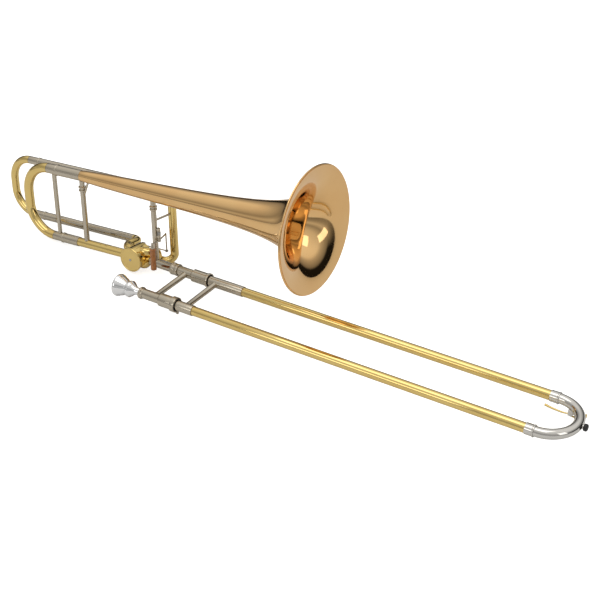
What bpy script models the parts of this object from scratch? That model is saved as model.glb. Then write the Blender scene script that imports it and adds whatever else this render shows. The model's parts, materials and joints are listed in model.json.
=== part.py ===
"""A tenor trombone with a rotor attachment, in metres, +Z up.

+X runs forward along the hand slide. The origin is in the middle of the inner slide's brace, where the left hand
holds the instrument. The mouthpiece-side tube is at -Y and the bell-side tube is at +Y. The bell section leans and
tilts in a frame of its own, whose origin lies on the bell-side tube's axis at the rotor.
"""

from math import asin, cos, pi, radians, sin, sqrt

import bmesh
import bpy
from mathutils import Matrix, Vector

# Fits
GAP = 0.0003  # between pieces that touch
RUNNING = 0.0003  # between pieces that slide or turn
PIN_PLAY = 0.0009  # across the stop arm's pin, where the linkage is open

# Slide tubes
SLIDE_SPACING = 0.0935
INNER_RADIUS = 0.0072
INNER_BORE = 0.0068
STOCKING_RADIUS = 0.0074
STOCKING_LENGTH = 0.110
INNER_END = 0.666
OUTER_WALL = 0.0004
SLEEVE_WALL = 0.0007
OUTER_START = 0.0262
OUTER_END = 0.684
OUTER_BRACE_X = 0.0636
NEAR_SLEEVE_END = 0.082
FAR_SLEEVE_END = 0.119
FERRULE_BACK = 0.0065
FERRULE_FRONT = 0.0075
CROOK_LEG = 0.0075

# Cork barrels and what is on them
BARREL_BACK = -0.0205
BARREL_STEP = 0.0125
BARREL_FRONT = 0.0485
BARREL_BACK_WALL = 0.00125
BARREL_FRONT_WALL = 0.00155
BARREL_RING_RISE = 0.00115
POCKET_START = 0.0205
POCKET_PLAY = 0.0006
CORK_LENGTH = 0.005
TENON_BACK = -0.045
TENON_RADIUS = 0.0066
TENON_WALL = 0.0008
NUT_BACK = -0.0315
NUT_LENGTH = 0.015
NUT_WALL = 0.0018
RECEIVER_BACK = -0.0285
RECEIVER_WALL = 0.0019
RECEIVER_RING_RISE = 0.0015
LOCK_RING_LENGTH = 0.009
LOCK_RING_WALL = 0.0016
LOCK_KNOB_REACH = 0.0195
LOCK_KNOB_RADIUS = 0.0026
LEADPIPE_LENGTH = 0.180
BRACE_RADIUS = 0.0050

# Mouthpiece
MOUTHPIECE_RIM_X = -0.0780
MOUTHPIECE_LENGTH = 0.0850
RIM_RADIUS = 0.0198
CUP_RADIUS = 0.0128
CUP_DEPTH = 0.0240
THROAT_RADIUS = 0.0036
WAIST_RADIUS = 0.0112
BULGE_RADIUS = 0.0146
SHANK_RADIUS = 0.0068
SHANK_TIP = 0.0062

# Bumper and water key on the crook
BUMPER_RADIUS = 0.0057
BUMPER_LENGTH = 0.0058
SOCKET_RADIUS = 0.0035
SOCKET_LENGTH = 0.0012
KEY_SIDE = 0.0327  # from the middle of the crook, towards the bell-side tube
KEY_TAB_LENGTH = 0.0400
KEY_ARM_LENGTH = 0.0110  # from the hinge to the pad
KEY_WIDTH = 0.0070
KEY_HUB_RADIUS = 0.0024
KEY_PIN_RADIUS = 0.0009
NIPPLE_RADIUS = 0.0030
NIPPLE_HEIGHT = 0.0028
PAD_HEIGHT = 0.0016

# Bell section's frame
BELL_FRAME_X = -0.0867
BELL_TILT = radians(3.59)  # its front is up
BELL_LEAN = radians(4.8)  # its top is away from the mouthpiece side

# Bell
LEG_SPACING = 0.1319  # from the main tube up to the bell's axis
BELL_MOUTH = 0.3506
BELL_RADIUS = 0.10795
BELL_START = -0.1378
FLARE_POWER = 0.554
FLARE_REACH = 0.0120
TAIL_NARROWING = 0.0037
TAIL_SHAPE = 8  # the higher, the nearer to the tail the narrowing stays
BELL_WALL = 0.0006
RIM_BEAD = 0.0016

# Main tuning slide
MAIN_BOW_BACK = -0.2715
MAIN_CORNER = 0.054
MAIN_JOINT = -0.1970  # where the moving legs enter the sleeves
UPPER_LEG_RADIUS = 0.0084
LOWER_LEG_RADIUS = 0.0074
LEG_WALL = 0.0006
LEG_FERRULE_WALL = 0.0008
TUNING_SLEEVE_WALL = 0.0011
MAIN_LEG_DEPTH = 0.052
LOWER_SLEEVE_END = -0.1570
MAIN_TUBE_RADIUS = 0.0081
MAIN_BRACE_X = -0.2035

# Attachment tubing, on the far side
F_SIDE = 0.045
F_LOW = 0.0095
F_HIGH = 0.1175
F_BOW_BACK = -0.3495
F_CORNER = 0.044
F_JOINT = -0.2830
F_SLEEVE_FRONT = -0.1660
F_LEG_RADIUS = 0.0065
F_SLEEVE_WALL = 0.0007
F_LEG_DEPTH = 0.075
F_TUBE_RADIUS = 0.0075
F_TUBE_WALL = 0.0006
F_CROOK_CORNER = 0.026
F_CROOK_DROP = 0.0134
F_ELBOW_CORNER = 0.015
F_BRACE_X = -0.2490
F_FRONT_X = 0.0258
F_TUBE_FRONT = -0.0150
F_STRUT_X = -0.1800

# Rotor
ROTOR_X = -0.0230
ROTOR_Z = 0.0020
ROTOR_RADIUS = 0.0175
CASING_WALL = 0.0028
CASING_NEAR = -0.0175
CASING_FAR = 0.0150
CAP_RISE = 0.0020
CAP_THICKNESS = 0.0032
PLATE_THICKNESS = 0.0030
KNUCKLE_RADIUS = 0.0079
KNUCKLE_WALL = 0.0010
KNUCKLE_RUN = 0.018
PORT_STRAIGHT = 0.0020
PORT_BEND = 0.0125
PORT_SOCKET = 0.0010
FRONT_PORT_FALL = radians(12)
CROOK_BEND = 0.0095
SPINDLE_RADIUS = 0.0035
STOP_ARM_SIDE = 0.0222
STOP_ARM_THICKNESS = 0.0022
STOP_ARM_LENGTH = 0.0108
STOP_PIN_RADIUS = 0.0012
BUMPER_PLACE = 0.0080
BUMPER_ANGLE = radians(24)  # from the stop arm, at each end of its swing
STOP_BUMPER_RADIUS = 0.0016

# Thumb trigger
TRIGGER_X = 0.0290
TRIGGER_LOW = 0.0475
TRIGGER_HIGH = 0.0665
TRIGGER_SWING = radians(30)
HINGE_RADIUS = 0.0031
HINGE_WAIST = 0.0023
HINGE_SHOULDER = 0.0055
SPRING_WIRE = 0.00035
LEVER_PIN_RADIUS = 0.0011
LEVER_Z = 0.0440
LEVER_RADIUS = 0.0014
HANDLE_SIDE = -0.0200
HANDLE_RADIUS = 0.0052
HANDLE_LENGTH = 0.0400
HANDLE_STEM = 0.0085
HANDLE_BORE_DEPTH = 0.0280
TANG_RADIUS = 0.0017
LINK_RADIUS = 0.0012

# Braces between the main tube and the bell
REAR_BRACE_X = -0.1390
FRONT_BRACE_X = 0.0204
UPRIGHT_RADIUS = 0.0048
FOOT_FLARE = 0.0016
REAR_STAY_X = -0.1230
REAR_STAY_LOW = 0.0950
STAY_RADIUS = 0.0020
CROOK_STAY_Z = 0.0790
TUNING_BRACE_RADIUS = 0.0036
F_BRACE_RADIUS = 0.0034
REAR_BRACE_RINGS = ((0.1045, 0.0070, 0.0022), (0.1105, 0.0070, 0.0022))  # height, radius, half length
FRONT_BRACE_RINGS = ((0.1005, 0.0068, 0.0021), (0.1055, 0.0068, 0.0021))

NEAR_Y = -SLIDE_SPACING / 2
FAR_Y = SLIDE_SPACING / 2
OUTER_BORE = STOCKING_RADIUS + RUNNING
OUTER_RADIUS = OUTER_BORE + OUTER_WALL
SLEEVE_RADIUS = OUTER_RADIUS + GAP + SLEEVE_WALL
POCKET_RADIUS = SLEEVE_RADIUS + POCKET_PLAY
BARREL_THIN = INNER_RADIUS + GAP + BARREL_BACK_WALL
BARREL_THICK = POCKET_RADIUS + BARREL_FRONT_WALL
BARREL_RING = BARREL_THICK + BARREL_RING_RISE
TENON_BORE = TENON_RADIUS - TENON_WALL
RECEIVER_TUBE = SHANK_RADIUS + GAP + RECEIVER_WALL
RECEIVER_RING = RECEIVER_TUBE + RECEIVER_RING_RISE
LOWER_LEG_BORE = LOWER_LEG_RADIUS - LEG_WALL
UPPER_LEG_BORE = UPPER_LEG_RADIUS - LEG_WALL
F_LEG_BORE = F_LEG_RADIUS - LEG_WALL
F_TUBE_BORE = F_TUBE_RADIUS - F_TUBE_WALL
UPPER_SLEEVE_RADIUS = UPPER_LEG_RADIUS + RUNNING + TUNING_SLEEVE_WALL
LOWER_SLEEVE_RADIUS = LOWER_LEG_RADIUS + RUNNING + TUNING_SLEEVE_WALL
F_SLEEVE_RADIUS = F_LEG_RADIUS + RUNNING + F_SLEEVE_WALL
KNUCKLE_BORE = KNUCKLE_RADIUS - KNUCKLE_WALL
PASSAGE_BORE = KNUCKLE_BORE - GAP
ROTOR_BORE = ROTOR_RADIUS + RUNNING
CASING_RADIUS = ROTOR_BORE + CASING_WALL
CAP_RADIUS = CASING_RADIUS + CAP_RISE
PORT_REACH = ROTOR_RADIUS * sin(radians(45))  # a port's centre on the rotor's rim, along x and z
STOP_REST = radians(135)
STOP_TURN = radians(90)
LEVER_LENGTH = STOP_ARM_LENGTH * sin(STOP_TURN / 2) / sin(TRIGGER_SWING / 2)
LINK_SIDE = LEVER_LENGTH * cos(TRIGGER_SWING / 2)
LINK_Z = ROTOR_Z + STOP_ARM_LENGTH * (1 + cos(STOP_TURN / 2)) / 2
NECK_DIRECTION = Vector((cos(BELL_TILT), 0, -sin(BELL_TILT)))  # the slide's axis, in the bell's frame
X_AXIS = Vector((1, 0, 0))
Y_AXIS = Vector((0, 1, 0))
Z_AXIS = Vector((0, 0, 1))

FINISHES = {  # colour, roughness, metallic
    "gold_brass": ((0.72, 0.43, 0.20), 0.18, 1.0),
    "yellow_brass": ((0.78, 0.60, 0.24), 0.20, 1.0),
    "nickel_silver": ((0.60, 0.56, 0.50), 0.28, 1.0),
    "bright_nickel": ((0.68, 0.66, 0.62), 0.12, 1.0),
    "silver": ((0.88, 0.88, 0.89), 0.08, 1.0),
    "steel": ((0.50, 0.50, 0.50), 0.30, 1.0),
    "copper_wood": ((0.42, 0.17, 0.07), 0.45, 0.0),
    "rubber": ((0.02, 0.02, 0.02), 0.70, 0.0),
    "cork": ((0.45, 0.33, 0.20), 0.85, 0.0),
}


def clear_scene():
    for old in list(bpy.data.objects):
        bpy.data.objects.remove(old, do_unlink=True)


def finish_material(name, finish):
    colour, roughness, metallic = FINISHES[finish]
    material = bpy.data.materials.new(name + "_finish")
    material.use_nodes = True
    shader = material.node_tree.nodes["Principled BSDF"]
    shader.inputs["Base Color"].default_value = (*colour, 1.0)
    shader.inputs["Roughness"].default_value = roughness
    shader.inputs["Metallic"].default_value = metallic
    return material


def add_object(name, mesh_data, origin, parent):
    """Links the mesh as an object whose origin is at the given point of the parent's frame."""
    origin = Vector(origin)
    bmesh.ops.translate(mesh_data, verts=mesh_data.verts, vec=-origin)
    bmesh.ops.recalc_face_normals(mesh_data, faces=mesh_data.faces)
    mesh = bpy.data.meshes.new(name)
    mesh_data.to_mesh(mesh)
    mesh_data.free()
    mesh.shade_smooth()
    mesh.set_sharp_from_angle(angle=radians(40))
    obj = bpy.data.objects.new(name, mesh)
    bpy.context.scene.collection.objects.link(obj)
    obj.location = origin
    obj.parent = parent
    return obj


def piece(name, finish, mesh_data, origin=(0, 0, 0), parent=None):
    obj = add_object(name, mesh_data, origin, parent)
    obj.data.materials.append(finish_material(name, finish))
    return obj


def helper(name, mesh_data, parent=None):
    """A shape that only cuts or joins another."""
    obj = add_object(name, mesh_data, (0, 0, 0), parent)
    obj.hide_render = True
    obj.display_type = "WIRE"
    return obj


def combine(obj, other, operation):
    modifier = obj.modifiers.new(operation.title() + " " + other.name, "BOOLEAN")
    modifier.operation = operation
    modifier.solver = "EXACT"
    modifier.object = other


def cut(obj, *cutters):
    for cutter in cutters:
        combine(obj, cutter, "DIFFERENCE")


def join(obj, *others):
    for other in others:
        combine(obj, other, "UNION")


def turned(outline, start, direction=X_AXIS, sides=14, closed=True):
    """A solid of revolution: (distance along the axis, radius) points, spun about the axis from start."""
    mesh_data = bmesh.new()
    verts = [mesh_data.verts.new((along, 0, radius)) for along, radius in outline]
    pairs = list(zip(verts, verts[1:]))
    if closed:
        pairs.append((verts[-1], verts[0]))
    edges = [mesh_data.edges.new(pair) for pair in pairs]
    bmesh.ops.spin(
        mesh_data, geom=verts + edges, cent=(0, 0, 0), axis=X_AXIS, angle=2 * pi, steps=sides, use_merge=True
    )
    bmesh.ops.remove_doubles(mesh_data, verts=mesh_data.verts, dist=1e-7)
    turn = X_AXIS.rotation_difference(Vector(direction)).to_matrix().to_4x4()
    bmesh.ops.transform(mesh_data, matrix=Matrix.Translation(start) @ turn, verts=mesh_data.verts)
    return mesh_data


def rod(start, end, radius, sides=12):
    """A solid round rod between two points."""
    start, end = Vector(start), Vector(end)
    length = (end - start).length
    outline = [(0, 0), (0, radius), (length, radius), (length, 0)]
    return turned(outline, start, end - start, sides, closed=False)


def tube(start, end, outer, bore, sides=14):
    """A straight round tube between two points."""
    start, end = Vector(start), Vector(end)
    length = (end - start).length
    outline = [(0, bore), (0, outer), (length, outer), (length, bore)]
    return turned(outline, start, end - start, sides)


def swept(route, radii, bores=None, sides=10):
    """A round bar along a route or, with bores, a tube. Radii and bores are one number or one for each point."""
    count = len(route)
    route = [Vector(point) for point in route]
    radii = list(radii) if hasattr(radii, "__len__") else [radii] * count
    tangents = [(route[min(i + 1, count - 1)] - route[max(i - 1, 0)]).normalized() for i in range(count)]
    across = tangents[0].orthogonal().normalized()
    frames = []
    for i, tangent in enumerate(tangents):
        if i:
            across = tangents[i - 1].rotation_difference(tangent) @ across
        across = (across - tangent * across.dot(tangent)).normalized()
        frames.append((across.copy(), tangent.cross(across)))
    mesh_data = bmesh.new()

    def rings(sizes):
        made = []
        for point, (side, up), size in zip(route, frames, sizes):
            ring = []
            for k in range(sides):
                angle = 2 * pi * k / sides
                ring.append(mesh_data.verts.new(point + size * (cos(angle) * side + sin(angle) * up)))
            made.append(ring)
        return made

    def skin(first, second):
        for k in range(sides):
            following = (k + 1) % sides
            mesh_data.faces.new((first[k], first[following], second[following], second[k]))

    outside = rings(radii)
    for first, second in zip(outside, outside[1:]):
        skin(first, second)
    if bores is None:
        mesh_data.faces.new(outside[0])
        mesh_data.faces.new(outside[-1])
        return mesh_data
    bores = list(bores) if hasattr(bores, "__len__") else [bores] * count
    inside = rings(bores)
    for first, second in zip(inside, inside[1:]):
        skin(first, second)
    skin(outside[0], inside[0])
    skin(outside[-1], inside[-1])
    return mesh_data


def arc(centre, radius, start, end, first, second, steps):
    """Points on an arc from one angle to another, in the plane of two unit vectors."""
    points = []
    for i in range(steps + 1):
        angle = start + (end - start) * i / steps
        points.append(Vector(centre) + radius * (cos(angle) * Vector(first) + sin(angle) * Vector(second)))
    return points


def smooth_route(points, steps):
    """A smooth curve through the points, with the same number of steps in each span."""
    points = [Vector(point) for point in points]
    padded = [2 * points[0] - points[1], *points, 2 * points[-1] - points[-2]]
    route = [points[0]]
    for i in range(1, len(padded) - 2):
        a, b, c, d = padded[i - 1 : i + 3]
        for k in range(1, steps + 1):
            t = k / steps
            route.append(0.5 * (2 * b + (c - a) * t + (2 * a - 5 * b + 4 * c - d) * t**2 + (3 * b - a - 3 * c + d) * t**3))
    return route


def box(low, high):
    mesh_data = bmesh.new()
    bmesh.ops.create_cube(mesh_data, size=1)
    low, high = Vector(low), Vector(high)
    size = high - low
    matrix = Matrix.Translation((low + high) / 2) @ Matrix.Diagonal((*size, 1))
    bmesh.ops.transform(mesh_data, matrix=matrix, verts=mesh_data.verts)
    return mesh_data


def saddle_cutter(name, centre, direction, radius, reach=0.016, parent=None, sides=14):
    """A bar as wide as a tube and its gap, which shapes the foot of what is soldered to the tube."""
    centre, direction = Vector(centre), Vector(direction).normalized()
    return helper(name, rod(centre - direction * reach, centre + direction * reach, radius + GAP, sides), parent)


def post_outline(length, radius, foot, rings=()):
    """A brace: a bar that widens to a foot at each end, with turned rings on the way."""
    flare = 2.2 * (foot - radius)
    outline = [(0, 0), (0, foot), (flare * 0.4, radius + (foot - radius) * 0.35), (flare, radius)]
    for middle, ring_radius, half in rings:
        outline += [
            (middle - half, radius),
            (middle - half * 0.5, ring_radius),
            (middle + half * 0.5, ring_radius),
            (middle + half, radius),
        ]
    outline += [
        (length - flare, radius),
        (length - flare * 0.4, radius + (foot - radius) * 0.35),
        (length, foot),
        (length, 0),
    ]
    return outline


def slide_point(x, y, z=0.0):
    return Vector((x, y, z))


# Inner slide


def build_inner_slide():
    bore = INNER_RADIUS + GAP
    ring_back = BARREL_FRONT - 0.004
    near_outline = [
        (BARREL_BACK, bore),
        (BARREL_BACK, BARREL_THIN),
        (BARREL_STEP, BARREL_THIN),
        (BARREL_STEP + 0.0025, BARREL_THICK),
        (BARREL_FRONT, BARREL_THICK),
        (BARREL_FRONT, POCKET_RADIUS),
        (POCKET_START, POCKET_RADIUS),
        (POCKET_START, bore),
    ]
    piece("near_cork_barrel", "nickel_silver", turned(near_outline, slide_point(0, NEAR_Y)))
    tube_start = BARREL_BACK + 0.0025
    far_outline = [
        (TENON_BACK, TENON_BORE),
        (TENON_BACK, TENON_RADIUS),
        (BARREL_BACK, TENON_RADIUS),
        (BARREL_BACK, BARREL_THIN),
        (BARREL_STEP, BARREL_THIN),
        (BARREL_STEP + 0.0025, BARREL_THICK),
        (ring_back - 0.001, BARREL_THICK),
        (ring_back, BARREL_RING),
        (BARREL_FRONT, BARREL_RING),
        (BARREL_FRONT, POCKET_RADIUS),
        (POCKET_START, POCKET_RADIUS),
        (POCKET_START, bore),
        (tube_start - GAP, bore),
        (tube_start - GAP, TENON_BORE),
    ]
    piece("far_cork_barrel", "nickel_silver", turned(far_outline, slide_point(0, FAR_Y)))
    near_start = MOUTHPIECE_RIM_X + MOUTHPIECE_LENGTH + 0.0035
    for name, y, start in (("near_inner_tube", NEAR_Y, near_start), ("far_inner_tube", FAR_Y, tube_start)):
        outline = [
            (start, INNER_BORE),
            (start, INNER_RADIUS),
            (INNER_END - STOCKING_LENGTH, INNER_RADIUS),
            (INNER_END - STOCKING_LENGTH + 0.002, STOCKING_RADIUS),
            (INNER_END, STOCKING_RADIUS),
            (INNER_END, INNER_BORE),
        ]
        piece(name, "bright_nickel", turned(outline, slide_point(0, y)))
    leadpipe_outer = INNER_BORE - GAP
    leadpipe_start = slide_point(near_start, NEAR_Y)
    leadpipe = tube(leadpipe_start, leadpipe_start + X_AXIS * LEADPIPE_LENGTH, leadpipe_outer, SHANK_TIP - 0.0004)
    piece("leadpipe", "yellow_brass", leadpipe)
    cork_inner = INNER_RADIUS + GAP
    cork_outer = POCKET_RADIUS - GAP
    cork_start = POCKET_START + GAP
    for name, y in (("near_slide_cork", NEAR_Y), ("far_slide_cork", FAR_Y)):
        start = slide_point(cork_start, y)
        piece(name, "cork", tube(start, start + X_AXIS * CORK_LENGTH, cork_outer, cork_inner))
    shank_gap = SHANK_RADIUS + GAP
    receiver = [
        (RECEIVER_BACK, shank_gap),
        (RECEIVER_BACK, RECEIVER_RING - 0.0006),
        (RECEIVER_BACK + 0.0008, RECEIVER_RING),
        (RECEIVER_BACK + 0.0045, RECEIVER_RING),
        (RECEIVER_BACK + 0.0052, RECEIVER_TUBE),
        (BARREL_BACK - GAP, RECEIVER_TUBE),
        (BARREL_BACK - GAP, shank_gap),
    ]
    piece("mouthpiece_receiver", "nickel_silver", turned(receiver, slide_point(0, NEAR_Y)))
    build_cross_brace("inner_brace", 0.0, BARREL_THIN, BRACE_RADIUS)


def build_cross_brace(name, x, tube_radius, radius):
    """A brace between the two slide tubes, saddled onto both."""
    start = slide_point(x, NEAR_Y + tube_radius * 0.6)
    length = SLIDE_SPACING - 2 * tube_radius * 0.6
    outline = post_outline(length, radius, radius + 0.0018)
    brace = piece(name, "nickel_silver", turned(outline, start, Y_AXIS, closed=False), origin=(x, 0, 0))
    for side, y in (("near", NEAR_Y), ("far", FAR_Y)):
        cut(brace, saddle_cutter(f"{name}_{side}_cutter", slide_point(x, y), X_AXIS, tube_radius))
    return brace


def build_locks():
    ring_inner = BARREL_THICK + RUNNING
    ring_outer = ring_inner + LOCK_RING_WALL
    start = slide_point(BARREL_FRONT - LOCK_RING_LENGTH, NEAR_Y)
    ring = piece(
        "slide_lock_ring",
        "nickel_silver",
        tube(start, start + X_AXIS * LOCK_RING_LENGTH, ring_outer, ring_inner),
        origin=start,
    )
    knob_x = BARREL_FRONT - LOCK_KNOB_RADIUS - 0.0008
    inner_end = ring_inner + 0.5 * LOCK_RING_WALL
    down = Vector((0, sin(radians(12)), -cos(radians(12))))
    middle = slide_point(knob_x, NEAR_Y)
    knob = rod(middle + down * inner_end, middle + down * LOCK_KNOB_REACH, LOCK_KNOB_RADIUS, 12)
    join(ring, helper("slide_lock_knob", knob))
    nut_inner = BARREL_THIN + RUNNING + 0.0001
    nut_outer = nut_inner + NUT_WALL
    nut_start = slide_point(NUT_BACK, FAR_Y)
    outline = [
        (0, nut_inner),
        (0, nut_outer - 0.0006),
        (0.0008, nut_outer),
        (0.0050, nut_outer),
        (0.0058, nut_outer - 0.0007),
        (NUT_LENGTH - 0.0058, nut_outer - 0.0007),
        (NUT_LENGTH - 0.0050, nut_outer),
        (NUT_LENGTH - 0.0008, nut_outer),
        (NUT_LENGTH, nut_outer - 0.0006),
        (NUT_LENGTH, nut_inner),
    ]
    piece("bell_lock_nut", "nickel_silver", turned(outline, nut_start), origin=nut_start)


def build_mouthpiece():
    length = MOUTHPIECE_LENGTH
    waist = 0.0205
    bulge = 0.0290
    outside = [
        (0.0000, RIM_RADIUS - 0.0022),
        (0.0012, RIM_RADIUS - 0.0004),
        (0.0034, RIM_RADIUS),
        (0.0062, RIM_RADIUS - 0.0006),
        (0.0085, RIM_RADIUS - 0.0022),
        (0.0150, RIM_RADIUS - 0.0045),
        (waist, WAIST_RADIUS),
        (waist + 0.0018, WAIST_RADIUS),
        (bulge - 0.0035, BULGE_RADIUS - 0.0004),
        (bulge, BULGE_RADIUS),
        (bulge + 0.0040, BULGE_RADIUS - 0.0028),
        (bulge + 0.0085, SHANK_RADIUS + 0.0014),
        (bulge + 0.0120, SHANK_RADIUS),
        (length, SHANK_TIP),
    ]
    inside = [
        (length, SHANK_TIP - 0.0007),
        (CUP_DEPTH + 0.0080, THROAT_RADIUS),
        (CUP_DEPTH, THROAT_RADIUS + 0.0008),
        (CUP_DEPTH * 0.72, CUP_RADIUS * 0.66),
        (CUP_DEPTH * 0.40, CUP_RADIUS * 0.90),
        (0.0040, CUP_RADIUS),
        (0.0012, CUP_RADIUS + 0.0012),
        (0.0000, CUP_RADIUS + 0.0030),
    ]
    start = slide_point(MOUTHPIECE_RIM_X, NEAR_Y)
    piece("mouthpiece", "silver", turned(outside + inside, start), origin=start)


# Outer slide


def crook_route(steps=12):
    """From the mouthpiece-side tube, round the front and back to the bell-side tube."""
    start_x = OUTER_END + GAP
    centre = slide_point(start_x + CROOK_LEG, 0)
    bend = arc(centre, SLIDE_SPACING / 2, -pi / 2, pi / 2, X_AXIS, Y_AXIS, steps)
    return [slide_point(start_x, NEAR_Y), *bend, slide_point(start_x, FAR_Y)]


def build_outer_slide():
    sides = (("near", NEAR_Y, NEAR_SLEEVE_END), ("far", FAR_Y, FAR_SLEEVE_END))
    for side, y, sleeve_end in sides:
        tube_mesh = tube(slide_point(OUTER_START, y), slide_point(OUTER_END, y), OUTER_RADIUS, OUTER_BORE)
        piece(f"{side}_outer_tube", "yellow_brass", tube_mesh)
        sleeve = tube(
            slide_point(OUTER_START + 0.001, y), slide_point(sleeve_end, y), SLEEVE_RADIUS, OUTER_RADIUS + GAP
        )
        piece(f"{side}_outer_sleeve", "nickel_silver", sleeve)
        ferrule_start = OUTER_END - FERRULE_BACK
        ferrule_end = OUTER_END + GAP + FERRULE_FRONT
        ferrule = [
            (ferrule_start, OUTER_RADIUS + GAP),
            (ferrule_start, SLEEVE_RADIUS),
            (ferrule_end - 0.0025, SLEEVE_RADIUS),
            (ferrule_end - 0.0018, SLEEVE_RADIUS + 0.0007),
            (ferrule_end, SLEEVE_RADIUS + 0.0007),
            (ferrule_end, OUTER_RADIUS + GAP),
        ]
        piece(f"{side}_crook_ferrule", "bright_nickel", turned(ferrule, slide_point(0, y)))
    piece("slide_crook", "bright_nickel", swept(crook_route(), OUTER_RADIUS, OUTER_BORE - 0.0003, 12))
    build_cross_brace("outer_brace", OUTER_BRACE_X, SLEEVE_RADIUS, BRACE_RADIUS)
    build_bumper()
    build_water_key()


def crook_cutter(name):
    return helper(name, swept(crook_route(), OUTER_RADIUS + GAP, None, 12))


def build_bumper():
    apex = OUTER_END + GAP + CROOK_LEG + SLIDE_SPACING / 2
    surface = apex + OUTER_RADIUS
    socket = piece(
        "bumper_socket",
        "bright_nickel",
        rod(slide_point(apex + OUTER_RADIUS * 0.7, 0), slide_point(surface + SOCKET_LENGTH, 0), SOCKET_RADIUS),
        origin=(surface, 0, 0),
    )
    cut(socket, crook_cutter("bumper_socket_cutter"))
    start = slide_point(surface + SOCKET_LENGTH + GAP, 0)
    outline = [
        (0, 0),
        (0, BUMPER_RADIUS - 0.0008),
        (0.0008, BUMPER_RADIUS),
        (BUMPER_LENGTH - 0.0012, BUMPER_RADIUS),
        (BUMPER_LENGTH, BUMPER_RADIUS - 0.0014),
        (BUMPER_LENGTH, 0),
    ]
    piece("crook_bumper", "rubber", turned(outline, start, closed=False), origin=start)


def water_key_places():
    """The crook's point over the pad, the pad's drop and the hinge's place."""
    centre_x = OUTER_END + GAP + CROOK_LEG
    over = slide_point(centre_x + sqrt((SLIDE_SPACING / 2) ** 2 - KEY_SIDE**2), KEY_SIDE)
    nipple_end = -OUTER_RADIUS - NIPPLE_HEIGHT
    hinge = Vector((over.x - KEY_ARM_LENGTH, KEY_SIDE, nipple_end + 0.0006))
    return over, nipple_end, hinge


def build_water_key():
    over, nipple_end, hinge = water_key_places()
    nipple = piece(
        "water_key_nipple",
        "bright_nickel",
        rod(over + Z_AXIS * (-OUTER_RADIUS * 0.6), over + Z_AXIS * nipple_end, NIPPLE_RADIUS),
        origin=over,
    )
    cut(nipple, crook_cutter("water_key_nipple_cutter"))
    half = KEY_WIDTH / 2
    hub_half = 0.0016
    saddle_low = Vector((hinge.x - KEY_HUB_RADIUS, KEY_SIDE - half, hinge.z - KEY_HUB_RADIUS * 0.9))
    saddle_high = Vector((hinge.x + KEY_HUB_RADIUS + 0.0025, KEY_SIDE + half, -OUTER_RADIUS * 0.25))
    saddle = piece("water_key_saddle", "bright_nickel", box(saddle_low, saddle_high), origin=hinge)
    slot = box(
        (saddle_low.x - 0.01, KEY_SIDE - hub_half - RUNNING, saddle_low.z - 0.01),
        (saddle_high.x + 0.02, KEY_SIDE + hub_half + RUNNING, hinge.z + KEY_HUB_RADIUS + RUNNING),
    )
    cut(
        saddle,
        crook_cutter("water_key_saddle_cutter"),
        helper("water_key_slot", slot),
    )
    pin = rod(hinge - Y_AXIS * (half - 0.0002), hinge + Y_AXIS * (half - 0.0002), KEY_PIN_RADIUS, 12)
    join(saddle, helper("water_key_pin", pin))
    lever = piece(
        "water_key_lever",
        "yellow_brass",
        tube(hinge - Y_AXIS * hub_half, hinge + Y_AXIS * hub_half, KEY_HUB_RADIUS - 0.0002, KEY_PIN_RADIUS + GAP, 16),
        origin=hinge,
    )
    pad_low = nipple_end - GAP - PAD_HEIGHT
    thickness = 0.0014
    arm_top = pad_low - GAP
    tab_route = [
        hinge + Vector((-0.0015, 0, -0.0007)),
        hinge + Vector((-0.30 * KEY_TAB_LENGTH, 0, -0.0020)),
        hinge + Vector((-0.70 * KEY_TAB_LENGTH, 0, -0.0010)),
        hinge + Vector((-KEY_TAB_LENGTH, 0, 0.0012)),
    ]
    tab = swept(smooth_route(tab_route, 3), [0.0010] + [0.0012 + 0.0007 * k / 9 for k in range(1, 10)], None, 10)
    arm = box(
        (hinge.x + KEY_PIN_RADIUS + GAP + 0.0004, KEY_SIDE - hub_half, arm_top - thickness),
        (over.x + NIPPLE_RADIUS, KEY_SIDE + hub_half, arm_top),
    )
    cup_start = over + Z_AXIS * (arm_top - 0.0016)
    cup = rod(cup_start, cup_start + Z_AXIS * 0.0016, NIPPLE_RADIUS + 0.0012, 16)
    neck = box(
        (hinge.x + KEY_PIN_RADIUS + GAP + 0.0002, KEY_SIDE - hub_half, arm_top - thickness),
        (hinge.x + KEY_HUB_RADIUS + 0.0006, KEY_SIDE + hub_half, hinge.z + 0.0004),
    )
    toe_route = [
        over + Vector((0.0025, 0, arm_top - 0.0014)),
        over + Vector((0.0085, 0.0005, arm_top - 0.0010)),
        over + Vector((0.0130, 0.0010, arm_top + 0.0040)),
        over + Vector((0.0135, 0.0012, arm_top + 0.0100)),
    ]
    toe = swept(smooth_route(toe_route, 3), 0.0013, None, 10)
    for name, mesh_data in (("tab", tab), ("arm", arm), ("neck", neck), ("cup", cup), ("toe", toe)):
        join(lever, helper(f"water_key_{name}", mesh_data))
    pad = rod(over + Z_AXIS * pad_low, over + Z_AXIS * (pad_low + PAD_HEIGHT), NIPPLE_RADIUS + 0.0009, 16)
    piece("water_key_pad", "cork", pad, origin=over + Z_AXIS * pad_low)


# Bell section, in its own frame


def bell_frame():
    frame = bpy.data.objects.new("bell_frame", None)
    bpy.context.scene.collection.objects.link(frame)
    lean = Matrix.Rotation(-BELL_LEAN, 4, "X")
    tilt = Matrix.Rotation(-BELL_TILT, 4, "Y")
    frame.matrix_world = Matrix.Translation((BELL_FRAME_X, FAR_Y, 0)) @ lean @ tilt
    bpy.context.view_layer.update()
    return frame


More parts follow.
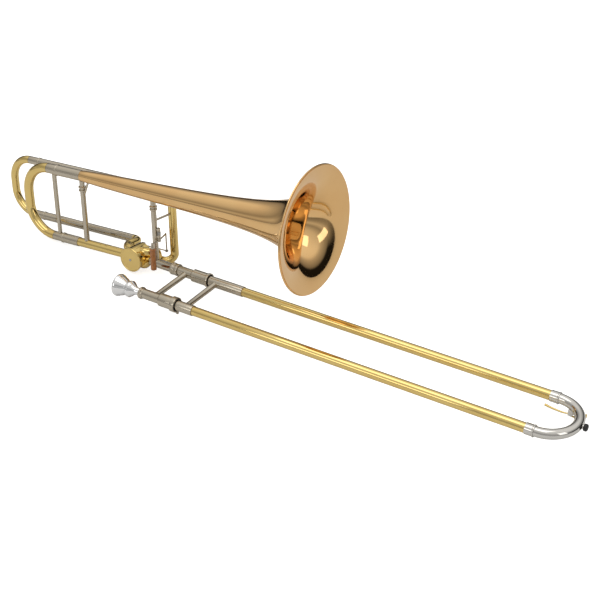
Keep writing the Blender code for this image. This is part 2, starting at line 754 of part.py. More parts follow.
def flare_radius(behind):
    """The bell's outer radius at a distance behind its mouth: a horn's power law, less the tail's own narrowing."""
    law = (BELL_RADIUS - RIM_BEAD) * (FLARE_REACH / (behind + FLARE_REACH)) ** FLARE_POWER
    return law - TAIL_NARROWING * (behind / (BELL_MOUTH - BELL_START)) ** TAIL_SHAPE


def bell_radius_at(x):
    return flare_radius(BELL_MOUTH - x)


def build_bell(frame):
    length = BELL_MOUTH - BELL_START
    steps = 13
    outside, inside = [], []
    for k in range(steps - 1):
        behind = length * (1 - k / steps) ** 2.4
        radius = flare_radius(behind)
        slope = (flare_radius(behind - 0.0001) - flare_radius(behind + 0.0001)) / 0.0002
        thin = BELL_WALL / sqrt(1 + slope**2)
        outside.append((BELL_MOUTH - behind, radius))
        inside.append((BELL_MOUTH - behind + slope * thin, radius - thin))
    inside[0] = (BELL_START, inside[0][1])
    centre = (BELL_MOUTH - RIM_BEAD, BELL_RADIUS - RIM_BEAD)
    bead = []
    for k in range(6):
        angle = radians(215 - 250 * k / 5)
        bead.append((centre[0] + RIM_BEAD * cos(angle), centre[1] + RIM_BEAD * sin(angle)))
    outline = outside + bead + inside[::-1]
    piece("bell", "gold_brass", turned(outline, (0, 0, LEG_SPACING), sides=24), (0, 0, LEG_SPACING), frame)


def bow_route(back, corner, low, high, side, steps=5):
    """A tuning slide's bow: from the low leg, round two corners to the high leg."""
    front = back + corner
    low_corner = Vector((front, side, low + corner))
    high_corner = Vector((front, side, high - corner))
    first = arc(low_corner, corner, -pi / 2, -pi, X_AXIS, Z_AXIS, steps)
    second = arc(high_corner, corner, pi, pi / 2, X_AXIS, Z_AXIS, steps)
    straight = X_AXIS * 0.0010
    return [first[0] + straight, *first, *second, second[-1] + straight]


def build_tuning_slide(frame, name, route, legs, joint, depth):
    """A bow and its two nickel legs. Each leg is (label, height, radius)."""
    low_radius, high_radius = (radius + LEG_FERRULE_WALL for _, _, radius in legs)
    last = len(route) - 1
    radii = [low_radius + (high_radius - low_radius) * i / last for i in range(last + 1)]
    bores = [radius - LEG_FERRULE_WALL - LEG_WALL for radius in radii]
    side = route[0].y
    start = route[0].x + GAP
    piece(f"{name}_bow", "yellow_brass", swept(route, radii, bores), (joint, side, 0), frame)
    for label, height, radius in legs:
        outline = [
            (start, radius - LEG_WALL),
            (start, radius + LEG_FERRULE_WALL),
            (joint - 0.0006, radius + LEG_FERRULE_WALL),
            (joint - 0.0003, radius),
            (joint + depth, radius),
            (joint + depth, radius - LEG_WALL),
        ]
        piece(f"{name}_{label}_leg", "nickel_silver", turned(outline, (0, side, height)), (joint, side, height), frame)


def tuning_sleeve(frame, name, start, end, side, height, leg_radius, outer, end_bore):
    """A fixed sleeve with a collar where the leg goes in, bored for the next tube at its other end."""
    bore = leg_radius + RUNNING
    outline = [
        (start, bore),
        (start, outer + 0.0007),
        (start + 0.0025, outer + 0.0007),
        (start + 0.0030, outer),
        (end, outer),
        (end, end_bore),
    ]
    if end_bore < bore:
        outline += [(end - 0.0020, end_bore), (end - 0.0020, bore)]
    piece(name, "nickel_silver", turned(outline, (0, side, height)), (start, side, height), frame)


def upright_brace(frame, name, x, low, high, radius, side=0.0, rings=(), low_direction=X_AXIS):
    """A brace between two tubes of the bell section. Low and high are (height, radius) of the tubes it sits on."""
    low_height, low_radius = low
    high_height, high_radius = high
    start = Vector((x, side, low_height + low_radius * 0.6))
    length = high_height - high_radius * 0.6 - start.z
    turned_rings = [(height - start.z, ring_radius, half) for height, ring_radius, half in rings]
    outline = post_outline(length, radius, radius + FOOT_FLARE, turned_rings)
    brace = piece(
        name, "nickel_silver", turned(outline, start, Z_AXIS, 16, closed=False), (x, side, low_height), frame
    )
    low_place = (x, side, low_height)
    high_place = (x, side, high_height)
    cut(
        brace,
        saddle_cutter(f"{name}_low_cutter", low_place, low_direction, low_radius, parent=frame),
        saddle_cutter(f"{name}_high_cutter", high_place, X_AXIS, high_radius, parent=frame),
    )
    return brace


def build_main_line(frame):
    sleeve_start = MAIN_JOINT + GAP
    upper_end = BELL_START - GAP
    lower_end = LOWER_SLEEVE_END - GAP
    lower_bore = LOWER_LEG_RADIUS + RUNNING
    for name, end, height, radius, outer, bore in (
        ("main_upper_sleeve", upper_end, LEG_SPACING, UPPER_LEG_RADIUS, UPPER_SLEEVE_RADIUS, UPPER_LEG_BORE),
        ("main_lower_sleeve", lower_end, 0, LOWER_LEG_RADIUS, LOWER_SLEEVE_RADIUS, lower_bore),
    ):
        tuning_sleeve(frame, name, sleeve_start, end, 0, height, radius, outer, bore)
    tube_end = ROTOR_X - PORT_REACH - KNUCKLE_RUN - GAP
    leg_stop = MAIN_JOINT + MAIN_LEG_DEPTH + 0.0020
    outline = [
        (LOWER_SLEEVE_END, lower_bore),
        (LOWER_SLEEVE_END, MAIN_TUBE_RADIUS),
        (tube_end, MAIN_TUBE_RADIUS),
        (tube_end, KNUCKLE_BORE),
        (leg_stop, KNUCKLE_BORE),
        (leg_stop, lower_bore),
    ]
    piece("main_neck_tube", "yellow_brass", turned(outline, (0, 0, 0)), (LOWER_SLEEVE_END, 0, 0), frame)
    route = bow_route(MAIN_BOW_BACK, MAIN_CORNER, 0, LEG_SPACING, 0)
    legs = (("lower", 0, LOWER_LEG_RADIUS), ("upper", LEG_SPACING, UPPER_LEG_RADIUS))
    build_tuning_slide(frame, "main_tuning", route, legs, MAIN_JOINT, MAIN_LEG_DEPTH)
    low = (0, LOWER_LEG_RADIUS + LEG_FERRULE_WALL)
    high = (LEG_SPACING, UPPER_LEG_RADIUS + LEG_FERRULE_WALL)
    upright_brace(frame, "main_tuning_brace", MAIN_BRACE_X, low, high, TUNING_BRACE_RADIUS)


def build_f_line(frame):
    for label, height in (("upper", F_HIGH), ("lower", F_LOW)):
        start, end = F_JOINT + GAP, F_SLEEVE_FRONT - GAP
        name = f"f_{label}_sleeve"
        tuning_sleeve(frame, name, start, end, F_SIDE, height, F_LEG_RADIUS, F_SLEEVE_RADIUS, F_LEG_BORE)
    route = bow_route(F_BOW_BACK, F_CORNER, F_LOW, F_HIGH, F_SIDE)
    legs = (("lower", F_LOW, F_LEG_RADIUS), ("upper", F_HIGH, F_LEG_RADIUS))
    build_tuning_slide(frame, "f_tuning", route, legs, F_JOINT, F_LEG_DEPTH)
    low, high = (F_LOW, F_SLEEVE_RADIUS), (F_HIGH, F_SLEEVE_RADIUS)
    upright_brace(frame, "f_sleeve_brace", F_BRACE_X, low, high, F_BRACE_RADIUS, F_SIDE)
    start = Vector((F_SLEEVE_FRONT, F_SIDE, F_HIGH))
    upper = tube(start, (F_TUBE_FRONT, F_SIDE, F_HIGH), F_TUBE_RADIUS, F_TUBE_BORE)
    piece("f_upper_tube", "nickel_silver", upper, start, frame)
    lower_route = f_lower_route()
    lower = swept(lower_route, F_TUBE_RADIUS, F_TUBE_BORE)
    piece("f_lower_tube", "yellow_brass", lower, lower_route[0], frame)
    crook_route = f_crook_route()
    crook = swept(crook_route, F_TUBE_RADIUS, F_TUBE_BORE)
    piece("f_front_crook", "yellow_brass", crook, crook_route[0], frame)


def port_height(upper):
    return ROTOR_Z + (PORT_REACH if upper else -PORT_REACH)


def port_bend(front):
    """The bend out of an upper port: its first part is the casing's, and its second the attachment tube's."""
    way = X_AXIS if front else -X_AXIS
    fall = FRONT_PORT_FALL if front else 0.0
    outward = Vector((0, cos(fall), -sin(fall)))
    rim = Vector((ROTOR_X, 0, port_height(True))) + way * PORT_REACH
    start = rim + way * PORT_STRAIGHT
    joint_angle = -radians(40)
    first = arc(start + outward * PORT_BEND, PORT_BEND, -pi / 2, joint_angle, way, outward, 5)
    heading = outward * cos(joint_angle) - way * sin(joint_angle)
    socket_end = first[-1] + heading * PORT_SOCKET
    casing_route = [rim - way * 0.0060, *first, socket_end]
    shift = heading * (2 * PORT_SOCKET + GAP)
    second = arc(start + outward * PORT_BEND + shift, PORT_BEND, joint_angle, 0, way, outward, 4)
    tube_route = [socket_end + heading * GAP, *second]
    return casing_route, tube_route, outward


def f_lower_route():
    """From the low leg's sleeve forward, round the elbow and in to the rotor's rear upper port."""
    _, bend, _ = port_bend(False)
    last = bend[-1]
    corner = Vector((last.x - F_ELBOW_CORNER, F_SIDE - F_ELBOW_CORNER, 0))
    turn = arc(corner, F_ELBOW_CORNER, pi / 2, 0, X_AXIS, Y_AXIS, 6)
    climb = port_height(True) - F_LOW
    lengths = [0.0]
    flat = [*turn, Vector((last.x, (turn[-1].y + last.y) / 2, 0)), Vector((last.x, last.y, 0))]
    for a, b in zip(flat, flat[1:]):
        lengths.append(lengths[-1] + (b - a).length)
    raised = []
    for point, gone in zip(flat, lengths):
        t = gone / lengths[-1]
        raised.append(Vector((point.x, point.y, F_LOW + climb * t * t * (3 - 2 * t))))
    return [Vector((F_SLEEVE_FRONT, F_SIDE, F_LOW)), *raised[:-1], *bend[::-1]]


def f_crook_route():
    """From the high tube down in front, under the link and up to the rotor's front upper port."""
    _, bend, outward = port_bend(True)
    start = Vector((F_TUBE_FRONT + GAP, F_SIDE, F_HIGH))
    top_centre = Vector((F_FRONT_X - F_CROOK_CORNER, F_SIDE, F_HIGH - F_CROOK_CORNER))
    top = arc(top_centre, F_CROOK_CORNER, pi / 2, 0, X_AXIS, Z_AXIS, 5)
    last = bend[-1]
    under = Vector((0, outward.z, -outward.y))
    turn_centre = last + under * CROOK_BEND
    turn_angle = pi / 2 - FRONT_PORT_FALL
    turn = arc(turn_centre, CROOK_BEND, 0, turn_angle, -under, outward, 4)
    foot = turn[-1]
    descent = Vector((F_FRONT_X, F_SIDE, foot.z))
    half = (descent - foot) / 2
    middle = (descent + foot) / 2
    bottom = []
    for k in range(9):
        angle = pi * k / 8
        bottom.append(middle + half * cos(angle) - Z_AXIS * F_CROOK_DROP * sin(angle))
    return [start, *top, *bottom, *turn[-2:0:-1], *bend[::-1]]


def knuckle_route(front):
    """The main line's double bend, from a low port of the rotor up to the tubes' own height."""
    way = 1 if front else -1
    start = Vector((ROTOR_X + way * PORT_REACH, 0, port_height(False)))
    bend_run = KNUCKLE_RUN - PORT_SOCKET
    end_x = start.x + way * bend_run
    end_z = -end_x * sin(BELL_TILT) / cos(BELL_TILT) if front else 0.0
    rise = end_z - start.z
    radius = (bend_run**2 + rise**2) / (4 * rise)
    turn = asin(bend_run / 2 / radius)
    first = arc(start + Z_AXIS * radius, radius, -pi / 2, -pi / 2 + way * turn, X_AXIS, Z_AXIS, 4)
    end = Vector((end_x, 0, end_z))
    second = arc(end - Z_AXIS * radius, radius, pi / 2 + way * turn, pi / 2, X_AXIS, Z_AXIS, 4)
    return [start - X_AXIS * way * 0.006, *first, *second[1:], end + X_AXIS * way * PORT_SOCKET]


def build_casing(frame, axis_point):
    near = axis_point + Y_AXIS * CASING_NEAR
    far = axis_point + Y_AXIS * CASING_FAR
    casing = piece("rotor_casing", "yellow_brass", rod(near, far, CASING_RADIUS, 20), axis_point, frame)
    branches = []
    for label, front in (("front", True), ("rear", False)):
        branches.append((f"{label}_knuckle", knuckle_route(front)))
        branches.append((f"{label}_port", port_bend(front)[0]))
    for label, route in branches:
        join(casing, helper(label, swept(route, KNUCKLE_RADIUS), frame))
    cut(casing, helper("casing_bore", rod(near - Y_AXIS * 0.01, far + Y_AXIS * 0.01, ROTOR_BORE, 20), frame))
    for label, route in branches:
        beyond = route[-1] + (route[-1] - route[-2]).normalized() * 0.004
        cut(casing, helper(label + "_bore", swept([*route, beyond], KNUCKLE_BORE), frame))


def build_rotor_body(frame, axis_point):
    start = axis_point + Y_AXIS * (CASING_NEAR + RUNNING)
    length = CASING_FAR - CASING_NEAR - 2 * RUNNING
    stem = STOP_ARM_SIDE + STOP_ARM_THICKNESS - start.y
    outline = [
        (0, 0),
        (0, ROTOR_RADIUS),
        (length, ROTOR_RADIUS),
        (length, SPINDLE_RADIUS),
        (stem, SPINDLE_RADIUS),
        (stem, 0),
    ]
    rotor = piece("rotor", "nickel_silver", turned(outline, start, Y_AXIS, 20, closed=False), axis_point, frame)
    depth = PASSAGE_BORE + 0.0018
    rim = PORT_REACH - depth
    radius = (PORT_REACH**2 + rim**2) / (2 * rim)
    reach = asin(min(0.95, ROTOR_RADIUS * 1.05 / radius))
    for label, sign in (("upper", 1), ("lower", -1)):
        centre = axis_point + Z_AXIS * sign * (depth + radius)
        middle = -sign * pi / 2
        route = arc(centre, radius, middle - reach, middle + reach, X_AXIS, Z_AXIS, 8)
        cut(rotor, helper(f"{label}_passage", swept(route, PASSAGE_BORE), frame))


def build_rotor(frame):
    axis_point = Vector((ROTOR_X, 0, ROTOR_Z))
    build_casing(frame, axis_point)
    build_rotor_body(frame, axis_point)
    cap_outline = [
        (0, 0),
        (0, 0.0016),
        (0.0006, 0.0022),
        (0.0006, CAP_RADIUS - 0.0026),
        (0, CAP_RADIUS - 0.0018),
        (0.0004, CAP_RADIUS - 0.0006),
        (0.0012, CAP_RADIUS),
        (CAP_THICKNESS - 0.0006, CAP_RADIUS),
        (CAP_THICKNESS, CAP_RADIUS - 0.0006),
        (CAP_THICKNESS, 0),
    ]
    cap_start = axis_point + Y_AXIS * (CASING_NEAR - CAP_THICKNESS - GAP)
    piece("rotor_cap", "yellow_brass", turned(cap_outline, cap_start, Y_AXIS, 20, closed=False), cap_start, frame)
    plate_start = axis_point + Y_AXIS * (CASING_FAR + GAP)
    plate_end = plate_start + Y_AXIS * PLATE_THICKNESS
    plate = tube(plate_start, plate_end, ROTOR_BORE + 0.0010, SPINDLE_RADIUS + RUNNING, 20)
    piece("bearing_plate", "yellow_brass", plate, plate_start, frame)
    build_stop_arm(frame, axis_point, plate_end.y + GAP)


def stop_place(axis_point, angle, reach, side):
    return Vector((axis_point.x + reach * cos(angle), side, axis_point.z + reach * sin(angle)))


def build_stop_arm(frame, axis_point, plate_face):
    near, far = STOP_ARM_SIDE, STOP_ARM_SIDE + STOP_ARM_THICKNESS
    middle = (near + far) / 2
    hub_radius = SPINDLE_RADIUS + 0.0022
    hub = tube(
        stop_place(axis_point, 0, 0, near), stop_place(axis_point, 0, 0, far), hub_radius, SPINDLE_RADIUS + GAP, 20
    )
    arm = piece("stop_arm", "nickel_silver", hub, axis_point, frame)
    bar_start = stop_place(axis_point, STOP_REST, hub_radius - 0.0012, middle)
    bar = rod(bar_start, stop_place(axis_point, STOP_REST, STOP_ARM_LENGTH, middle), 0.0010, 10)
    boss_start = stop_place(axis_point, STOP_REST, STOP_ARM_LENGTH, near)
    boss = rod(boss_start, boss_start + Y_AXIS * STOP_ARM_THICKNESS, 0.0021, 14)
    pin_end = Vector((boss_start.x, LINK_SIDE + 0.0032, boss_start.z))
    pin = rod(boss_start + Y_AXIS * 0.0004, pin_end, STOP_PIN_RADIUS, 12)
    for label, mesh_data in (("bar", bar), ("boss", boss), ("pin", pin)):
        join(arm, helper(f"stop_arm_{label}", mesh_data, frame))
    ends = (("rest", STOP_REST + BUMPER_ANGLE), ("pressed", STOP_REST - STOP_TURN - BUMPER_ANGLE))
    for label, angle in ends:
        start = stop_place(axis_point, angle, BUMPER_PLACE, plate_face)
        end = stop_place(axis_point, angle, BUMPER_PLACE, far)
        piece(f"stop_bumper_{label}", "rubber", rod(start, end, STOP_BUMPER_RADIUS, 12), start, frame)


def build_trigger(frame):
    pivot = Vector((TRIGGER_X, 0, LEVER_Z))
    build_hinge(frame)
    rest = TRIGGER_SWING / 2
    far_end = pivot + Vector((-LEVER_LENGTH * sin(rest), LEVER_LENGTH * cos(rest), 0))
    near_end = Vector((TRIGGER_X, HANDLE_SIDE, LEVER_Z))
    hub_top = Vector((TRIGGER_X, 0, TRIGGER_LOW - RUNNING))
    hub = rod(pivot - Z_AXIS * 0.0024, hub_top, HINGE_RADIUS, 16)
    lever = piece("trigger_lever", "nickel_silver", hub, pivot, frame)
    stem_low = near_end - Z_AXIS * HANDLE_STEM
    stem_outline = [
        (0, 0),
        (0, 0.0034),
        (HANDLE_STEM * 0.45, 0.0030),
        (HANDLE_STEM * 0.75, 0.0021),
        (HANDLE_STEM + 0.0012, 0.0021),
        (HANDLE_STEM + 0.0012, 0),
    ]
    shapes = (
        ("pin", rod(pivot, (TRIGGER_X, 0, TRIGGER_HIGH + 0.0015), LEVER_PIN_RADIUS, 12)),
        ("near_arm", rod(pivot, near_end, LEVER_RADIUS, 12)),
        ("far_arm", rod(pivot, far_end, LEVER_RADIUS, 12)),
        ("stem", turned(stem_outline, stem_low, Z_AXIS, 12, closed=False)),
        ("tang", rod(stem_low + Z_AXIS * 0.0005, stem_low - Z_AXIS * HANDLE_BORE_DEPTH, TANG_RADIUS, 12)),
        ("drop", rod(far_end + Z_AXIS * 0.0018, (far_end.x, far_end.y, LINK_Z - 0.0026), LINK_RADIUS, 12)),
    )
    for label, mesh_data in shapes:
        join(lever, helper(f"trigger_{label}", mesh_data, frame))
    top = stem_low - Z_AXIS * GAP
    bore = TANG_RADIUS + GAP
    handle_outline = [
        (HANDLE_BORE_DEPTH + GAP, 0),
        (HANDLE_BORE_DEPTH + GAP, bore),
        (0, bore),
        (0, HANDLE_RADIUS - 0.0008),
        (0.0010, HANDLE_RADIUS),
        (HANDLE_LENGTH * 0.5, HANDLE_RADIUS - 0.0004),
        (HANDLE_LENGTH - 0.0012, HANDLE_RADIUS),
        (HANDLE_LENGTH, HANDLE_RADIUS - 0.0010),
        (HANDLE_LENGTH, 0),
    ]
    handle = turned(handle_outline, top, -Z_AXIS, closed=False)
    piece("trigger_handle", "copper_wood", handle, top, frame)
    build_link(frame, far_end)


def build_hinge(frame):
    """The barrel that the lever's pin turns in, on two lugs from the front brace, and the spring round its waist."""
    low = Vector((TRIGGER_X, 0, TRIGGER_LOW))
    length = TRIGGER_HIGH - TRIGGER_LOW
    bore = LEVER_PIN_RADIUS + RUNNING
    outline = [
        (0, bore),
        (0, HINGE_RADIUS),
        (HINGE_SHOULDER, HINGE_RADIUS),
        (HINGE_SHOULDER, HINGE_WAIST),
        (length - HINGE_SHOULDER, HINGE_WAIST),
        (length - HINGE_SHOULDER, HINGE_RADIUS),
        (length, HINGE_RADIUS),
        (length, bore),
    ]
    hinge = piece("trigger_hinge", "nickel_silver", turned(outline, low, Z_AXIS, 16), low, frame)
    lug_half = 0.0017
    for k, height in enumerate((TRIGGER_LOW + HINGE_SHOULDER / 2, TRIGGER_HIGH - HINGE_SHOULDER / 2)):
        low_corner = (FRONT_BRACE_X, -lug_half, height - lug_half)
        high_corner = (TRIGGER_X - bore - 0.0008, lug_half, height + lug_half)
        join(hinge, helper(f"trigger_lug_{k}", box(low_corner, high_corner), frame))
    cut(hinge, front_brace_cutter(frame, "trigger_lug_cutter", TRIGGER_LOW - 0.01, TRIGGER_HIGH + 0.01))
    turns = 4
    steps = 8
    radius = HINGE_WAIST + SPRING_WIRE + GAP
    room = length - 2 * HINGE_SHOULDER - 4 * SPRING_WIRE
    route = []
    for k in range(turns * steps + 1):
        angle = 2 * pi * k / steps
        height = TRIGGER_LOW + HINGE_SHOULDER + 2 * SPRING_WIRE + room * k / (turns * steps)
        route.append(Vector((TRIGGER_X + radius * cos(angle), radius * sin(angle), height)))
    piece("trigger_spring", "steel", swept(route, SPRING_WIRE, sides=4), route[0], frame)


def front_brace_cutter(frame, name, low, high):
    return helper(name, rod((FRONT_BRACE_X, 0, low), (FRONT_BRACE_X, 0, high), UPRIGHT_RADIUS + GAP, 16), frame)


def build_link(frame, lever_end):
    """The rod from the lever's drop arm back to the stop arm's pin, with a slotted eye there."""
    pin = stop_place(Vector((ROTOR_X, 0, ROTOR_Z)), STOP_REST, STOP_ARM_LENGTH, LINK_SIDE)
    front = Vector((lever_end.x, lever_end.y, LINK_Z))
    back = Vector((pin.x, LINK_SIDE, LINK_Z))
    half = 0.0014
    bore = LINK_RADIUS + RUNNING
    hub = tube(front - Z_AXIS * half, front + Z_AXIS * half, bore + 0.0013, bore, 14)
    link = piece("trigger_link", "steel", hub, front, frame)
    slot_half = STOP_PIN_RADIUS + PIN_PLAY
    slot_reach = STOP_ARM_LENGTH * (1 - cos(STOP_TURN / 2)) / 2 + STOP_PIN_RADIUS + PIN_PLAY
    rim = 0.0014
    bar = rod(front - X_AXIS * (bore + 0.0007), back + X_AXIS * (slot_half + rim / 2), 0.0011, 10)
    eye_corner = Vector((slot_half + rim, half, slot_reach + rim))
    slot_corner = Vector((slot_half, 0.01, slot_reach))
    join(link, helper("link_bar", bar, frame), helper("link_eye", box(back - eye_corner, back + eye_corner), frame))
    cut(link, helper("link_slot", box(back - slot_corner, back + slot_corner), frame))


def build_neckpipe():
    """The receiver for the hand slide: it lies on the slide's own axis, not the bell frame's."""
    start_x = BELL_FRAME_X + (ROTOR_X + PORT_REACH + KNUCKLE_RUN) * cos(BELL_TILT) + 0.0009
    collar = BARREL_THIN - 0.0002
    bore = TENON_RADIUS + RUNNING
    outline = [
        (start_x, KNUCKLE_BORE),
        (start_x, MAIN_TUBE_RADIUS),
        (NUT_BACK - 0.0040, MAIN_TUBE_RADIUS),
        (NUT_BACK - 0.0030, collar),
        (BARREL_BACK - GAP, collar),
        (BARREL_BACK - GAP, bore),
        (TENON_BACK - 0.0010, bore),
        (TENON_BACK - 0.0020, KNUCKLE_BORE - 0.0005),
    ]
    piece("neckpipe", "nickel_silver", turned(outline, slide_point(0, FAR_Y)), slide_point(NUT_BACK, FAR_Y))


def build_bell_supports(frame):
    tail = max(UPPER_SLEEVE_RADIUS, bell_radius_at(REAR_BRACE_X + UPRIGHT_RADIUS + FOOT_FLARE))
    low = (0, MAIN_TUBE_RADIUS)
    rear = upright_brace(
        frame, "rear_bell_brace", REAR_BRACE_X, low, (LEG_SPACING, tail), UPRIGHT_RADIUS, rings=REAR_BRACE_RINGS
    )
    stay_low = Vector((REAR_BRACE_X + UPRIGHT_RADIUS * 0.5, 0, REAR_STAY_LOW))
    stay_high = Vector((REAR_STAY_X, 0, LEG_SPACING - 0.0070))
    join(rear, helper("rear_stay", rod(stay_low, stay_high, STAY_RADIUS, 12), frame))
    bell_place = (REAR_STAY_X, 0, LEG_SPACING)
    cut(rear, saddle_cutter("rear_stay_cutter", bell_place, X_AXIS, bell_radius_at(REAR_STAY_X), 0.012, frame))
    low = (-FRONT_BRACE_X * sin(BELL_TILT), MAIN_TUBE_RADIUS)
    high = (LEG_SPACING, bell_radius_at(FRONT_BRACE_X + UPRIGHT_RADIUS + 2 * FOOT_FLARE))
    front = upright_brace(
        frame,
        "front_bell_brace",
        FRONT_BRACE_X,
        low,
        high,
        UPRIGHT_RADIUS,
        rings=FRONT_BRACE_RINGS,
        low_direction=NECK_DIRECTION,
    )
    start = Vector((FRONT_BRACE_X, 0, CROOK_STAY_Z))
    end = Vector((F_FRONT_X, F_SIDE - F_TUBE_RADIUS * 0.5, CROOK_STAY_Z))
    join(front, helper("crook_stay", rod(start, end, STAY_RADIUS, 12), frame))
    crook_place = (F_FRONT_X, F_SIDE, CROOK_STAY_Z)
    cut(front, saddle_cutter("crook_stay_cutter", crook_place, Z_AXIS, F_TUBE_RADIUS, 0.010, frame))
    strut_start = Vector((F_STRUT_X, UPPER_SLEEVE_RADIUS * 0.6, LEG_SPACING - 0.003))
    strut_end = Vector((F_STRUT_X, F_SIDE - 0.004, F_HIGH + 0.0012))
    strut = rod(strut_start, strut_end, STAY_RADIUS * 1.4, 12)
    strut = piece("f_upper_strut", "nickel_silver", strut, strut_start, frame)
    main_place = (F_STRUT_X, 0, LEG_SPACING)
    f_place = (F_STRUT_X, F_SIDE, F_HIGH)
    cut(
        strut,
        saddle_cutter("strut_main_cutter", main_place, X_AXIS, UPPER_SLEEVE_RADIUS, parent=frame),
        saddle_cutter("strut_f_cutter", f_place, X_AXIS, F_SLEEVE_RADIUS, parent=frame),
    )


def main():
    clear_scene()
    build_inner_slide()
    build_locks()
    build_mouthpiece()
    build_outer_slide()
    frame = bell_frame()
    build_bell(frame)
    build_main_line(frame)
    build_f_line(frame)
    build_rotor(frame)
    build_trigger(frame)
    build_neckpipe()
    build_bell_supports(frame)


main()
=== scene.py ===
"""The looks of a tenor trombone with a rotor attachment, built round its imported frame, in metres, +Z up."""

import json
from math import asin, cos, hypot, pi, radians, sin, sqrt

import bmesh
import bpy
from bpy.props import FloatProperty, FloatVectorProperty, IntProperty, PointerProperty
from mathutils import Matrix, Vector


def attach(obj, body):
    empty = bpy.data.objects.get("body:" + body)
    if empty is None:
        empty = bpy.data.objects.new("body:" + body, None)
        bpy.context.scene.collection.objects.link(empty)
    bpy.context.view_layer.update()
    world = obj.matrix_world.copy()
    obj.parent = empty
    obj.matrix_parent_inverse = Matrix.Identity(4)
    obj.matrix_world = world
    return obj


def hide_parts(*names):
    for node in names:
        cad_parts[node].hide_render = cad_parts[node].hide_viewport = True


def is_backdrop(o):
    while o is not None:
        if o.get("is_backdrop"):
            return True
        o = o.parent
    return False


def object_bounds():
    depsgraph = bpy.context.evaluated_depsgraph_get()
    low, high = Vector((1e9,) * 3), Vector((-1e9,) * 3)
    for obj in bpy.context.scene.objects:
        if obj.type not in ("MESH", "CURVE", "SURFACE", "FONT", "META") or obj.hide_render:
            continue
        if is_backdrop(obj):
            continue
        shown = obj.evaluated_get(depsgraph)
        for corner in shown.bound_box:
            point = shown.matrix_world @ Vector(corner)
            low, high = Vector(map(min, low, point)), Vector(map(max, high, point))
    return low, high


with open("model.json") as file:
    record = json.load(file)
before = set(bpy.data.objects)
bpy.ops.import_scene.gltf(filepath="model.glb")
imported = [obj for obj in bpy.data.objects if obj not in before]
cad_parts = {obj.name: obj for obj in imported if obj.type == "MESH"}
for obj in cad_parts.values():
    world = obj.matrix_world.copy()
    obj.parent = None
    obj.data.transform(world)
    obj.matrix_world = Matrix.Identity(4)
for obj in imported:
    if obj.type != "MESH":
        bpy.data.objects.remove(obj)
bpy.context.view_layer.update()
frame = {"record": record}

bl_info = {
    "name": "Tenor trombone",
    "version": (1, 0, 0),
    "blender": (4, 5, 0),
    "location": "3D View > Sidebar > Trombone",
    "description": "Builds the fine pieces of a tenor trombone, their finishes and the stage",
    "category": "Object",
}

NODE_BODY = {node: body for body, nodes in frame["record"]["behaviour"]["bodies"].items() for node in nodes}

# How meshes are finished
MERGE_DISTANCE = 0.000002
SHARP_ANGLE = radians(35)

# Fits
GAP = 0.0003  # between pieces that touch
RUNNING = 0.0003  # between pieces that slide or turn
PIN_PLAY = 0.0009  # across the stop arm's pin, where the linkage is open
SEAT = 0.6  # a brace's foot starts this share of the tube's radius from its middle, and the tube is cut away

# Slide tubes
SLIDE_SPACING = 0.0935
INNER_RADIUS = 0.0072
INNER_BORE = 0.0068
STOCKING_RADIUS = 0.0074
STOCKING_LENGTH = 0.110
INNER_END = 0.666
OUTER_WALL = 0.0004
SLEEVE_WALL = 0.0007
OUTER_START = 0.0262
OUTER_END = 0.684
OUTER_BRACE_X = 0.0636
NEAR_SLEEVE_END = 0.082
FAR_SLEEVE_END = 0.119
FERRULE_BACK = 0.0065
FERRULE_FRONT = 0.0075
CROOK_LEG = 0.0075

# Cork barrels and what is on them
BARREL_BACK = -0.0205
BARREL_STEP = 0.0125
BARREL_FRONT = 0.0485
BARREL_BACK_WALL = 0.00125
BARREL_FRONT_WALL = 0.00155
BARREL_RING_RISE = 0.00115
POCKET_START = 0.0205
POCKET_PLAY = 0.0006
CORK_LENGTH = 0.005
TENON_BACK = -0.045
TENON_RADIUS = 0.0066
TENON_WALL = 0.0008
NUT_BACK = -0.0315
NUT_LENGTH = 0.015
NUT_WALL = 0.0018
RECEIVER_BACK = -0.0285
RECEIVER_WALL = 0.0019
RECEIVER_RING_RISE = 0.0015
LOCK_RING_LENGTH = 0.009
LOCK_RING_WALL = 0.0016
LOCK_KNOB_REACH = 0.0195
LOCK_KNOB_RADIUS = 0.0026
LEADPIPE_LENGTH = 0.180
BRACE_RADIUS = 0.0050
BRACE_FOOT = 0.0018  # how far a brace's foot widens

# Mouthpiece
MOUTHPIECE_RIM_X = -0.0780
MOUTHPIECE_LENGTH = 0.0850
RIM_RADIUS = 0.0198
CUP_RADIUS = 0.0128
CUP_DEPTH = 0.0240
THROAT_RADIUS = 0.0036
WAIST_RADIUS = 0.0112
BULGE_RADIUS = 0.0146
SHANK_RADIUS = 0.0068
SHANK_TIP = 0.0062

# Bumper and water key on the crook
BUMPER_RADIUS = 0.0057
BUMPER_LENGTH = 0.0058
SOCKET_RADIUS = 0.0035
SOCKET_LENGTH = 0.0012
KEY_SIDE = 0.0327  # from the middle of the crook, towards the bell-side tube
KEY_TAB_LENGTH = 0.0400
KEY_ARM_LENGTH = 0.0110  # from the hinge to the pad
KEY_WIDTH = 0.0070
KEY_HUB_HALF = 0.0016
KEY_THICKNESS = 0.0014
KEY_CUP_HEIGHT = 0.0016
KEY_HUB_RADIUS = 0.0024
KEY_PIN_RADIUS = 0.0009
NIPPLE_RADIUS = 0.0030
NIPPLE_HEIGHT = 0.0028
PAD_HEIGHT = 0.0016

# Bell section's frame
BELL_FRAME_X = -0.0867
BELL_TILT = radians(3.59)  # its front is up
BELL_LEAN = radians(4.8)  # its top is away from the mouthpiece side

